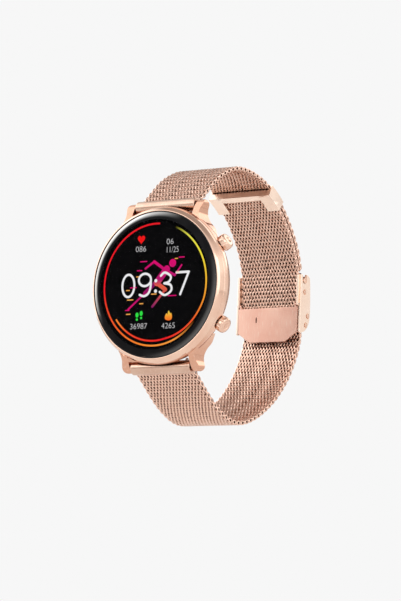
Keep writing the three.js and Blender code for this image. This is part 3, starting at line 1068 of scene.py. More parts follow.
@dataclass
class FrontGlass:
    """The domed-edge glass, its gasket, the bezel ring round them and the screen panel behind."""

    glass_radius: float = GLASS_RADIUS
    front: float = -11.55
    back: float = -10.9
    parting: float = -9.3
    bezel_radius: float = 21.95
    shoulder: float = 2.5
    drop: float = 0.6

    def build(self) -> None:
        """Builds the four pieces on the case."""
        self.glass().dress(GLASS).settle("case", "cover_glass", "cover_glass")
        self.gasket().dress(RUBBER).settle("case", "black_rubber", "glass_gasket")
        self.bezel().dress(POLISHED).settle("case", "rose_polished", "bezel_ring")
        self.panel().dress(PANEL).settle("case", "display_panel", "touch_display")

    def glass(self) -> Model:
        """A lens with a rounded shoulder that starts just inside its rim.

        Returns:
            The lens.
        """
        r = self.glass_radius
        steps = np.linspace(0, 1, 10)
        shoulder = [(r - self.shoulder * (1 - t), self.front + self.drop * t ** 2.2) for t in steps]
        profile = [(0, self.front), *shoulder, (r, self.back), (0, self.back)]
        return Model.turned("cover_glass_lens", profile[::-1]).shade(50)

    def gasket(self) -> Model:
        """A thin black ring that stands between glass and bezel.

        Returns:
            The ring.
        """
        r = self.glass_radius
        profile = [
            (r + 0.04, -10.0), (r + 0.04, -10.92), (r + 0.09, -10.99), (r + 0.22, -10.99),
            (r + 0.28, -10.92), (r + 0.28, -10.0),
        ]
        return Model.turned("glass_gasket_ring", profile).shade(50)

    def bezel(self) -> Model:
        """A narrow rounded lip that falls away to the parting line.

        Returns:
            The bezel.
        """
        r = self.glass_radius
        profile = [
            (r + 0.28, -9.9), (r + 0.28, -10.92), (r + 0.33, -11.0), (r + 0.42, -11.03), (r + 0.55, -10.99),
            (r + 0.82, -10.78), (r + 1.08, -10.42), (r + 1.3, -10.02), (r + 1.46, -9.68),
            (self.bezel_radius, self.parting + 0.1), (self.bezel_radius - 0.05, self.parting),
            (18.9, self.parting), (18.9, -9.9),
        ]
        return Model.turned("bezel_lip", profile).shade(35)

    def panel(self) -> Model:
        """The screen's stack of layers, bonded to the glass."""
        profile = [(0, -9.35), (18.4, -9.35), (18.5, -9.45), (18.5, -10.78), (18.4, -10.84), (0, -10.84)]
        return Model.turned("screen_stack", profile).shade(35)


@dataclass
class DialFace:
    """What the screen shows: rings, numerals, small signs and a sprinting figure."""

    depth: float = -10.85
    relief: float = 0.02
    ring_radius: float = 17.1
    ring_width: float = 0.5
    figure_half: float = 3.15
    figure_reach: float = 2.15
    pen: float = 0.66
    dash_width: float = 0.3

    def build(self) -> None:
        """Lays every mark on the screen's face."""
        self.light(self.numerals(), self.plain("dial_light_white", (0.86, 0.86, 0.88)))
        self.light(self.small_numerals(), self.plain("dial_light_grey", (0.55, 0.55, 0.56)))
        self.rings()
        self.signs()
        self.sprinter()

    @staticmethod
    def light(mark: Model, glow: SweepGlow) -> None:
        """Lights a mark and lays it on the case."""
        mark.dress(glow).settle("case", "display_panel")

    @staticmethod
    def plain(name: str, colour: Colour) -> SweepGlow:
        """A glow of one colour."""
        return SweepGlow(name, ((0, colour), (1, colour)), -20, 20, False)

    def mark(self, name: str, *outlines: Sequence[Pair], sink: float = 0.0) -> Model:
        """Flat shapes in the dial's plane, as one piece.

        Args:
            name: name of the piece.
            outlines: outline of each shape, as x and z.
            sink: how far behind the other marks the shapes lie.

        Returns:
            The shapes, joined.
        """
        back = self.depth + sink
        shapes = [Model.plate(name, outline, Facing.Y, back - self.relief, back) for outline in outlines]
        return shapes[0].gather(*shapes[1:])

    def numerals(self) -> Model:
        """The time in tall thin figures, drawn as pen strokes.

        Returns:
            The four figures and the colon, as one piece.
        """
        half, reach, width = self.figure_half, self.figure_reach, self.pen
        strokes = []
        for centre in (-8.9, -3.35):
            left = arc((0, 0), 1, 90, 270, 17)
            right = arc((0, 0), 1, -90, 90, 17)
            if centre < -5:
                for side in (left, right):
                    strokes.append(stroke([(centre + x * reach * 0.95, z * half) for x, z in side], width))
            else:
                bowl = half * 0.55
                for side in (left, right):
                    strokes.append(stroke(
                        [(centre + x * reach * 0.95, half - bowl + z * bowl) for x, z in side], width))
                tail = [(reach * 0.95, half - bowl), (reach * 0.9, -0.9), (reach * 0.6, -2.4),
                        (-0.1, -half), (-reach * 0.75, -2.7)]
                strokes.append(stroke([(centre + x, z) for x, z in smooth_line(tail, 14)], width))
        upper = [(-reach * 0.8, 2.3), (-0.4, half), (reach * 0.75, 2.0), (reach * 0.5, 0.55), (-0.5, 0.15)]
        lower = [
            (-0.5, 0.15), (reach * 0.75, -0.4), (reach * 0.85, -2.0), (-0.2, -half), (-reach * 0.9, -2.2)]
        for half_three in (upper, lower):
            strokes.append(stroke([(3.7 + x, z) for x, z in smooth_line(half_three, 16)], width))
        strokes.append(stroke([(7.2, half - 0.15), (11.3, half - 0.15)], width))
        strokes.append(stroke([(11.2, half - 0.2), (8.6, -half)], width))
        for z in (1.0, -1.9):
            strokes.append(arc((0.35, z), 0.5, 0, 330, 12))
        return self.mark("dial_time_numerals", *strokes)

    def small_numerals(self) -> Model:
        """The readings under each sign, and the date.

        Returns:
            The readings, as one piece.
        """
        readings = [
            ("086", (-5.0, 10.2), (3.5, 1.55)), ("06", (4.75, 11.8), (2.3, 1.55)),
            ("11/25", (5.7, 9.5), (3.9, 1.6)), ("36987", (-5.0, -11.5), (5.7, 1.55)),
            ("4265", (4.9, -11.7), (4.5, 1.55)),
        ]
        models = [
            Model.lettering("dial_readings", figures, centre, size, self.depth - self.relief)
            for figures, centre, size in readings
        ]
        return models[0].gather(*models[1:])

    def rings(self) -> None:
        """The outer ring runs on from the inner one, which widens as it goes round."""
        outer = stroke(arc((0, 0), self.ring_radius, 86, 322, 110), self.ring_width)
        outer_glow = SweepGlow("dial_ring_outer_light", (
            (0.0, RED), (0.42, RED), (0.60, (0.9, 0.13, 0.02)), (0.74, ORANGE), (0.88, (0.95, 0.33, 0.05)),
            (1.0, BLACK)), 86, 322)
        self.light(self.mark("dial_ring_outer", outer), outer_glow)

        angles = np.linspace(216, 428, 100)
        radii = self.ring_radius - 1.35 + 1.3 * np.clip((angles - 285) / 60, 0, 1)
        path = [(r * math.cos(math.radians(a)), r * math.sin(math.radians(a))) for r, a in zip(radii, angles)]
        inner_glow = SweepGlow("dial_ring_inner_light", (
            (0.0, ORANGE), (0.10, (0.88, 0.06, 0.02)), (0.32, RED), (0.5, (0.9, 0.10, 0.02)),
            (0.66, (0.95, 0.42, 0.03)), (0.82, YELLOW), (0.92, (0.75, 0.72, 0.08)), (1.0, BLACK)), 216, 428)
        self.light(self.mark("dial_ring_inner", stroke(path, self.ring_width)), inner_glow)

    def signs(self) -> None:
        """A heart, a pair of soles and a flame."""
        turns = np.linspace(0, math.tau, 41)[:-1]
        heart = [
            (-4.95 + 0.078 * 16 * math.sin(t) ** 3,
             12.95 + 0.085 * (13 * math.cos(t) - 5 * math.cos(2 * t) - 2 * math.cos(3 * t) - math.cos(4 * t)))
            for t in turns
        ]
        self.light(self.mark("dial_heart_sign", heart), self.plain("dial_light_red", (0.9, 0.01, 0.01)))

        soles = []
        for x, z in ((-5.65, -8.75), (-4.25, -8.35)):
            soles.append([(x + 0.52 * a, z + 0.4 + 0.72 * b) for a, b in arc((0, 0), 1, 0, 340, 18)])
            soles.append([(x + 0.38 * a, z - 0.85 + 0.34 * b) for a, b in arc((0, 0), 1, 0, 340, 14)])
        self.light(self.mark("dial_step_sign", *soles), self.plain("dial_light_green", (0.03, 0.75, 0.06)))

        flame = smooth_line([
            (4.9, -10.3), (3.85, -9.9), (3.8, -8.9), (4.35, -8.2), (4.6, -8.7), (4.9, -7.5), (5.5, -8.4),
            (5.75, -8.1), (6.1, -9.1), (5.9, -10.0), (4.95, -10.3)], 36)[:-1]
        glow = SweepGlow("dial_flame_light", (
            (0, (0.95, 0.12, 0.02)), (0.5, (0.95, 0.35, 0.03)), (1, (0.95, 0.75, 0.08))), -10.4, -7.6, False)
        self.light(self.mark("dial_flame_sign", [tuple(p) for p in flame]), glow)

    def sprinter(self) -> None:
        """A plain figure of rounded bars at full stride, with dashes of speed beside it."""
        limbs = {
            "rear": [
                stroke([(2.6, 4.4), (-0.4, 6.4)], 0.85), stroke([(-0.4, 6.4), (-3.3, 4.6)], 0.6),
                stroke([(0.2, 0.4), (-3.2, -2.3)], 1.25), stroke([(-3.2, -2.3), (-8.7, -6.6)], 0.55),
            ],
            "front": [
                arc((5.8, 5.7), 1.15, 0, 340, 20), stroke([(3.9, 4.1), (0.7, 0.5)], 2.1),
                stroke([(3.9, 3.6), (6.6, 2.3)], 0.75), stroke([(6.6, 2.3), (8.8, 5.0)], 0.5),
                stroke([(0.9, 0.2), (3.6, -1.6)], 1.2), stroke([(3.6, -1.6), (-0.6, -6.2)], 0.7),
            ],
        }
        dashes = {
            "magenta": [
                (7.9, 7.2, 1.7), (-5.0, 6.6, 2.1), (-6.0, 4.1, 1.5), (-8.2, -0.6, 2.0), (4.6, -3.4, 2.6),
                (-9.6, -6.9, 1.2)],
            "orange": [
                (6.6, 6.9, 0.8), (7.2, 3.1, 0.9), (-6.2, 2.4, 1.2), (-9.5, -1.3, 1.0), (-1.0, -2.7, 1.6),
                (-4.9, -5.2, 1.1), (-9.3, -8.0, 1.3), (-9.1, -4.0, 1.9)],
        }
        rear_stops = ((0, MAGENTA), (0.5, PURPLE), (1, MAGENTA))
        front_stops = ((0, PURPLE), (0.45, (0.8, 0.12, 0.05)), (0.6, (0.45, 0.01, 0.16)), (1, MAGENTA))
        self.light(
            self.mark("dial_figure_rear", *limbs["rear"], sink=self.relief),
            SweepGlow("dial_figure_light_rear", rear_stops, -7, 6.5, False))
        self.light(
            self.mark("dial_figure_front", *limbs["front"], sink=self.relief / 2),
            SweepGlow("dial_figure_light_front", front_stops, -6.5, 6.5, False))
        for hue, colour in (("magenta", MAGENTA), ("orange", (0.9, 0.4, 0.08))):
            bars = [stroke([(x, z), (x + length, z)], self.dash_width) for x, z, length in dashes[hue]]
            self.light(self.mark(f"dial_dashes_{hue}", *bars), self.plain(f"dial_dash_light_{hue}", colour))


# ---------------------------------------------------------------- case

@dataclass
class MidCase:
    """The turned case body with its four lugs and the pusher recesses."""

    bore: float = 16.4
    lug_gap: float = 20.4
    relief_radius: float = 2.9
    tip_reach: float = 11.55
    tip_radius: float = 0.55
    recess_radius: float = 2.7
    recess_floor: float = 21.0
    sleeve_radius: float = 1.85

    def build(self) -> None:
        """Joins ring and lugs, then opens the recesses, bores and tip holes."""
        case = self.ring()
        lug = self.lug()
        flips = [(1, 1), (-1, 1), (1, -1), (-1, -1)]
        lugs = [lug.copy(Matrix.Diagonal((x, 1, z, 1))) for x, z in flips]
        bpy.data.objects.remove(lug.obj)
        case.boolean("UNION", *lugs)
        case.boolean("DIFFERENCE", Model.rod("bore", (0, -12, 0), (0, 0, 0), self.bore, TURN_STEPS))
        half, tip = self.lug_gap / 2, self.tip_reach
        for z in (BAR_Z, -BAR_Z):
            relief = Model.rod("relief", (-half, BAR_Y, z), (half, BAR_Y, z), self.relief_radius, 64)
            tips = Model.rod("tips", (-tip, BAR_Y, z), (tip, BAR_Y, z), self.tip_radius)
            case.boolean("DIFFERENCE", relief, tips)
        seat = Vector((0, PUSHER_Y, 0))
        for angle in PUSHER_ANGLES.values():
            out = outwards(angle)
            floor, mouth = seat + out * self.recess_floor, seat + out * 24
            recess = Model.rod("recess", floor, mouth, self.recess_radius, 48)
            sleeve = Model.rod("sleeve", seat + out * 15, seat + out * 23, self.sleeve_radius, 32)
            case.boolean("DIFFERENCE", recess, sleeve)
        case.round_edges(0.07, 2, 40).shade(30)
        case.dress(CASE_PLATING).settle("case", "rose_polished", "mid_case")

    def ring(self) -> Model:
        """The barrel of the case: a short wall at the front that tucks in towards the back.

        Returns:
            The barrel.
        """
        outer = smooth_line([
            (22.0, -9.0), (22.16, -8.5), (22.2, -7.8), (22.0, -6.9), (21.4, -5.6), (20.6, -4.5), (19.7, -3.5),
            (18.9, -2.7)], 22)
        profile = [(self.bore, -9.1), (21.9, -9.1), *[tuple(p) for p in outer], (self.bore, -2.7)]
        return Model.turned("case_barrel", profile)

    def lug(self) -> Model:
        """One lug: its side view and its front view, cut out of each other.

        Returns:
            The lug on the 3 o'clock side at 12 o'clock.
        """
        side = smooth_line([
            (-8.9, 13.5), (-8.8, 18), (-8.2, 20.3), (-7.2, 22.3), (-6.3, 23.5), (-5.4, 24), (-4.6, 23.9),
            (-4, 23.2), (-3.7, 22), (-3.5, 19.5), (-3.3, 16.5), (-3.3, 13.5)], 44)
        waist = smooth_line([
            (15.6, 13.5), (14.6, 16), (13.2, 17.6), (12.5, 18.9), (12.25, 20), (12.35, 21.2), (12.75, 22.4),
            (12.8, 23.2), (12.5, 23.8), (11.9, 24.1), (10.8, 24.1)], 40)
        inner = self.lug_gap / 2
        front = [(inner, 13.5), *[tuple(p) for p in waist], (inner, 23.8)]
        body = Model.plate("lug", [tuple(p) for p in side], Facing.X, inner, 17)
        body.boolean("INTERSECT", Model.plate("lug_front", front, Facing.Y, -9.2, -3.0))
        return body.round_edges(0.45, 4, 50)


@dataclass
class CaseBack:
    """The back cover with its window, screws and charging contacts."""

    window: float = 9.6
    screw_ring: float = 17.6
    contact_z: float = -13.7
    contact_x: float = 2.0

    def build(self) -> None:
        """Builds the cover and what shows in its holes."""
        screws = [
            (self.screw_ring * math.cos(math.radians(a)), self.screw_ring * math.sin(math.radians(a)))
            for a in (45, 135, 225, 315)
        ]
        self.cover(screws)
        window = Model.turned("sensor_lens", [
            (0, -0.7), (self.window, -0.7), (self.window, -0.2), (self.window - 0.08, -0.07),
            (self.window - 0.3, 0), (0, 0)], 128)
        window.shade(50).dress(WINDOW).settle("case", "sensor_glass", "sensor_window")
        self.screws(screws)
        for side, mark in ((-1, "a"), (1, "b")):
            contact = Model.turned("charging_pad_" + mark, [
                (0, -3.3), (1.3, -3.3), (1.3, -2.5), (0.85, -2.5), (0.85, -1.05), (0.78, -0.97),
                (0.6, -0.95), (0, -0.99)], PIN_STEPS)
            contact.obj.data.transform(Matrix.Translation((side * self.contact_x, 0, self.contact_z)))
            contact.shade(40).dress(GOLD).settle("case", "gold_contact", "charging_contact_" + mark)

    def cover(self, screws: Sequence[Pair]) -> None:
        """A shallow moulded dish that steps up round the window.

        Args:
            screws: x and z of each screw.
        """
        w = self.window
        cover = Model.turned("back_cover", [
            (w + 0.1, -0.75), (w + 0.1, -0.36), (w + 0.18, -0.3), (w + 0.6, -0.28), (11.8, -0.33),
            (12.5, -0.4), (12.9, -0.6), (13.3, -0.88), (13.9, -0.98), (17.8, -1.19), (18.3, -1.35),
            (18.7, -1.7), (18.8, -1.9), (18.8, -2.6), (18.3, -2.6), (18.3, -2.2), (12.2, -2.2), (12.2, -0.95),
            (w - 0.9, -0.95), (w - 0.9, -0.75)], 128)
        for x, z in screws:
            cover.boolean(
                "DIFFERENCE", Model.rod("hole", (x, -3, z), (x, 0, z), 0.6, 24),
                Model.rod("sink", (x, -1.75, z), (x, 0, z), 1.0),
            )
        for side in (1, -1):
            x, z = side * self.contact_x, self.contact_z
            cover.boolean("DIFFERENCE", Model.rod("hole", (x, -3, z), (x, 0, z), 1.0))
        cover.round_edges(0.05, 2, 50).shade(30)
        cover.dress(BACK_PLASTIC).settle("case", "black_plastic", "case_back")

    def screws(self, places: Sequence[Pair]) -> None:
        """One screw with a cross recess, copied to each place.

        Args:
            places: x and z of each screw.
        """
        screw = Model.turned("screw", [
            (0, -4.9), (0.45, -4.9), (0.45, -1.65), (0.85, -1.65), (0.85, -1.36), (0.78, -1.25),
            (0.66, -1.2), (0, -1.2)], PIN_STEPS)
        screw.boolean(
            "DIFFERENCE", Model.block("slot", (-0.5, -1.42, -0.09), (0.5, -1, 0.09)),
            Model.block("slot", (-0.09, -1.42, -0.5), (0.09, -1, 0.5)),
        )
        screw.shade(40).dress(STEEL)
        for number, (x, z) in enumerate(places, 1):
            name = f"back_screw_{number}"
            screw.copy(Matrix.Translation((x, 0, z)), name + "_cross_head").settle("case", "steel", name)
        bpy.data.objects.remove(screw.obj)


@dataclass
class PushButton:
    """A round fluted push-button with a dimple in its end."""

    side: str
    angle: float
    radius: float = 2.25
    top: float = 24.1
    base: float = 21.7
    underside: float = 22.3
    flutes: int = 8
    flute_radius: float = 0.36

    def build(self) -> None:
        """Turns the button along Y, flutes it, and aims it out of the case."""
        r, top, base = self.radius, self.top, self.base
        button = Model.turned(f"{self.side}_button_head", [
            (0, 16.2), (0.6, 16.2), (0.6, self.underside), (r - 0.25, self.underside), (r - 0.25, base),
            (r - 0.05, base + 0.08), (r, base + 0.25), (r, top - 0.75), (r - 0.06, top - 0.5),
            (r - 0.22, top - 0.24), (r - 0.5, top - 0.06), (r - 0.85, top + 0.02), (1.1, top + 0.05),
            (0.95, top + 0.02), (0.8, top - 0.16), (0.45, top - 0.3), (0, top - 0.34),
        ], 64)
        for index in range(self.flutes):
            turn = Matrix.Rotation(math.tau * index / self.flutes, 4, "Y")
            start, end = (0, base + 0.3, r + 0.3), (0, top + 0.9, r - 0.02)
            flute = Model.rod("flute", start, end, self.flute_radius, 20)
            flute.obj.data.transform(turn)
            button.boolean("DIFFERENCE", flute)
        button.round_edges(0.06, 2, 40).shade(35)
        aim = Vector((0, 1, 0)).rotation_difference(outwards(self.angle)).to_matrix().to_4x4()
        button.obj.data.transform(Matrix.Translation((0, PUSHER_Y, 0)) @ aim)
        button.dress(POLISHED).settle(f"{self.side}_button", "rose_polished", f"{self.side}_pusher")


# ---------------------------------------------------------------- straps

@dataclass
class StrapLines:
    """Where the two halves of the band run, from their end links round to the clasp."""

    thickness: float = 1.4
    layer_gap: float = 0.25
    steps: int = 40
    tail_end_y: float = 32.0
    tail_start_z: float = 10.0
    short_outline: tuple[Pair, ...] = (
        (-2.6, 26.1), (3.3, 31.4), (8.3, 34.5), (14.2, 36.8), (20.0, 37.3), (25.5, 36.6), (31.2, 35.0),
        (37.2, 31.8), (42.5, 27.6), (47.0, 22.4), (50.3, 17.0), (52.2, 11.6),
    )
    long_outline: tuple[Pair, ...] = (
        (-2.6, -25.9), (3.5, -30.9), (8.5, -34.1), (14.0, -36.4), (19.5, -37.0), (25.5, -35.8),
        (32.0, -33.0), (39.0, -28.5), (45.0, -22.8), (49.2, -17.0), (51.9, -11.4), (52.7, -7.8),
    )
    crossing: tuple[Pair, ...] = ((51.15, -5.0), (50.75, -2.2), (50.5, 0.8), (50.3, 4.0), (50.2, 7.2))

    def short(self) -> Course:
        """The middle of the short strap."""
        outer = smooth_line(self.short_outline, 240)
        return Course(sideways(outer, -self.thickness / 2), 1)

    def tail(self) -> np.ndarray:
        """The middle of the stretch that lies under the short strap, from the clasp to its end."""
        depth = self.thickness * 1.5 + self.layer_gap
        under = sideways(smooth_line(self.short_outline, self.steps), -depth)
        kept = under[(under[:, 0] > self.tail_end_y) & (under[:, 1] > self.tail_start_z)]
        return kept[::-1]

    def long(self) -> Course:
        """The middle of the long strap, through the clasp and back under the short strap."""
        outer = smooth_line(self.long_outline, self.steps)
        middle = sideways(outer, self.thickness / 2)
        return Course(smooth_line([*middle, *self.crossing, *self.tail()], 500), -1)


@dataclass
class WovenBand:
    """A mesh of flattened wire coils, each a mirror image of the next, laid across the strap."""

    width: float = 19.6
    turn_pitch: float = 1.055
    turns: int = 18
    coil_pitch: float = 1.1
    reach: float = 0.78
    half_depth: float = 0.45
    wire: float = 0.235
    steps: int = 8
    loop_radius: float = 0.5
    loop_wire: float = 0.17
    core_thickness: float = 0.5
    core_margin: float = 0.28

    def coil(self) -> Model:
        """A corner screwed into a helix, flattened, and given the thickness of the wire.

        Returns:
            One coil, along X.
        """
        start = -self.turns * self.turn_pitch / 2
        coil = Model.line("coil", [(start, 0, 1)])
        coil.modify(
            "SCREW", axis="X", screw_offset=self.turn_pitch, iterations=self.turns,
            steps=self.steps, render_steps=self.steps,
        )
        self.flatten(coil)
        coil.activate()
        bpy.ops.object.convert(target="CURVE")
        coil.obj.data.bevel_depth = self.wire
        coil.obj.data.bevel_resolution = 1
        coil.obj.data.use_fill_caps = True
        bpy.ops.object.convert(target="MESH")
        return coil

    def flatten(self, coil: Model) -> None:
        """Presses a round helix into a flat one with full corners.

        Args:
            coil: the helix, as a line.
        """
        corners = np.array([vertex.co for vertex in coil.obj.data.vertices])
        along, lift = corners[:, 1], corners[:, 2]
        corners[:, 1] = self.reach * np.sign(along) * np.abs(along) ** 0.75
        corners[:, 2] = self.half_depth * np.sign(lift) * np.abs(lift) ** 0.45
        coil.obj.data.vertices.foreach_set("co", corners.ravel())

    def edge_loop(self) -> Model:
        """The bent ends of two coils, which make an oval ring at the band's edge.

        Returns:
            A ring at each edge, as one piece.
        """
        bpy.ops.object.select_all(action="DESELECT")
        bpy.ops.mesh.primitive_torus_add(
            major_segments=14, minor_segments=6, major_radius=self.loop_radius, minor_radius=self.loop_wire,
            rotation=(0, math.pi / 2, 0),
        )
        bpy.ops.object.transform_apply()
        loop = Model(bpy.context.object, "edge_loop")
        with loop.editing():
            bpy.ops.transform.resize(value=(1.1, 1.7, 1))
            bpy.ops.transform.translate(value=(self.width / 2 - 0.16, 0, 0))
        return loop.both_sides()

    def core(self, length: float) -> Model:
        """A dark sheet in the middle that stands in for the shadow inside the weave.

        Args:
            length: how long it is.

        Returns:
            The sheet, lying flat from y = 0.
        """
        bpy.ops.object.select_all(action="DESELECT")
        bpy.ops.mesh.primitive_grid_add(
            x_subdivisions=1, y_subdivisions=max(2, int(length / 1.5)), size=1,
            location=(0, length / 2, 0),
        )
        core = Model(bpy.context.object, "core")
        core.obj.scale = (self.width - self.core_margin * 2, length, 1)
        bpy.ops.object.transform_apply()
        return core.modify("SOLIDIFY", thickness=self.core_thickness, offset=0)

    def weave(self, name: str, course: Course, start: float, stop: float) -> Model:
        """Lays coils side by side over a stretch of a strap and bends them along it.

        Args:
            name: the piece's name.
            course: the strap's middle line.
            start: where the stretch begins along it.
            stop: where it ends.

        Returns:
            The woven piece, which is also given its depth in the weave.
        """
        coil = self.coil()
        mirrored = coil.copy(Matrix.Scale(-1, 4))
        loop = self.edge_loop()
        count = int((stop - start) / self.coil_pitch)
        pitch = (stop - start) / count
        parts = []
        for index in range(count):
            shift = Matrix.Translation((0, (index + 0.5) * pitch, 0))
            parts.append((mirrored if index % 2 else coil).copy(shift))
            if index % 2:
                parts.append(loop.copy(Matrix.Translation((0, index * pitch, 0))))
        for used in (coil, mirrored, loop):
            bpy.data.objects.remove(used.obj)
        for part in parts:
            part.dress(WIRE)
        core = self.core(stop - start).dress(WEAVE_CORE)
        band = parts[0].gather(*parts[1:], core)
        band.obj.name = name
        self.bend(band, course, start)
        return band.shade(60)

    def bend(self, band: Model, course: Course, start: float) -> None:
        """Wraps a flat band onto its line, and stores how far each corner stands off the middle.

        Args:
            band: the flat band.
            course: the strap's middle line.
            start: where the band begins along it.
        """
        mesh = band.obj.data
        corners = np.zeros(len(mesh.vertices) * 3)
        mesh.vertices.foreach_get("co", corners)
        corners = corners.reshape(-1, 3)
        # The lift drives the wire's painted shade: low deep in the weave, high on its faces and at its edges.
        lift = mesh.attributes.new("lift", "FLOAT", "POINT")
        depth = np.abs(corners[:, 2]) / (self.half_depth + self.wire)
        edge = (np.abs(corners[:, 0]) - self.width / 2 + 0.55) / 0.35
        lift.data.foreach_set("value", np.maximum(depth, edge))
        corners[:, 1:] = course.place(corners[:, 1] + start, corners[:, 2])
        mesh.vertices.foreach_set("co", corners.ravel())
        mesh.update()


@dataclass
class Straps:
    """The two woven halves, their end links and the cap on the loose end."""

    lines: StrapLines = field(default_factory=StrapLines)
    band: WovenBand = field(default_factory=WovenBand)
    barrel: float = 1.9
    bar_bore: float = 0.95
    tongue: float = 0.4
    link_half: float = 9.9
    split: float = 92.0
    overlap: float = 3.0

    def build(self) -> None:
        """Weaves the straps and fits their metal ends."""
        short, long = self.lines.short(), self.lines.long()
        self.band.weave("short_strap_weave", short, -self.overlap, short.length - 0.4).settle(
            "short_strap", "woven_band", "short_band")
        self.band.weave("long_strap_weave", long, -self.overlap, self.split).settle(
            "long_strap", "woven_band", "long_band")
        self.band.weave("long_strap_tail_weave", long, self.split, long.length - 0.2).settle(
            "long_strap", "woven_band")
        self.end_link("upper", 1, short, "short_strap")
        self.end_link("lower", -1, long, "long_strap")
        self.tail_cap(long)

    def end_link(self, side: str, sign: int, course: Course, body: str) -> None:
        """A barrel round the spring bar, with a thin tongue that the weave closes over.

        Args:
            side: upper or lower.
            sign: 1 on the 12 o'clock side, -1 on the other.
            course: the strap that it holds.
            body: the body that it rides on.
        """
        z, half, lift = BAR_Z * sign, self.link_half, self.tongue / 2
        barrel = arc((BAR_Y, z), self.barrel, 0, 355, 72)
        link = Model.plate(f"{side}_link_barrel", barrel, Facing.X, -half, half)
        link.round_edges(0.25, 3, 50)
        reach = course.strip(-self.overlap - 0.6, 0.8, -lift, lift, 4)
        tongue = Model.plate("tongue", reach, Facing.X, 0.4 - half, half - 0.4)
        bore = Model.rod("bore", (-11, BAR_Y, z), (11, BAR_Y, z), self.bar_bore)
        slot = Model.block("slot", (5.2, 0, -0.75), (8.0, 3.2, 0.75))
        towards_release = Vector((0, 0.5, -0.866 * sign))
        turn = Vector((0, 1, 0)).rotation_difference(towards_release).to_matrix().to_4x4()
        slot.obj.data.transform(Matrix.Translation((0, BAR_Y, z)) @ turn)
        link.boolean("UNION", tongue).boolean("DIFFERENCE", bore, slot).shade(35)
        link.dress(LINK_PLATING).settle(body, "rose_polished", f"{side}_end_link")

    def tail_cap(self, course: Course) -> None:
        """Side walls that hold both layers together, joined under the loose end.

        Args:
            course: the long strap's middle line.
        """
        end = course.length
        half = self.band.width / 2
        inner = self.lines.thickness / 2 + 0.12
        floor = -inner - 0.5
        top = self.lines.thickness * 1.5 + self.lines.layer_gap - 0.05
        first, last = end - 6.2, end + 0.9
        wall = Model.plate("wall", course.strip(first, last, floor, top), Facing.X, half + 0.12, half + 0.7)
        arm = Model.plate("arm", course.strip(first, last, floor, -inner), Facing.X, 6.6, half + 0.4)
        lip = Model.plate("lip", course.strip(end - 1.2, last, floor, -inner, 4), Facing.X, 0, 10.2)
        nose = Model.plate("nose", course.strip(end + 0.25, last, floor + 0.1, 0.7, 3), Facing.X, 0, 10.2)
        half_cap = wall.boolean("UNION", arm, lip, nose)
        with half_cap.editing():
            half_cap.select_faces(lambda middle, normal: abs(middle.x) < 0.001 and normal.x < -0.9)
            bpy.ops.mesh.delete(type="FACE")
        cap = half_cap.both_sides()
        cap.obj.name = "tail_cap_frame"
        with cap.editing():
            bpy.ops.mesh.remove_doubles(threshold=WELD)
        cap.round_edges(0.13, 2, 45).shade(35)
        cap.dress(PALE).settle("long_strap", "rose_polished", "tail_cap")


# ---------------------------------------------------------------- clasp

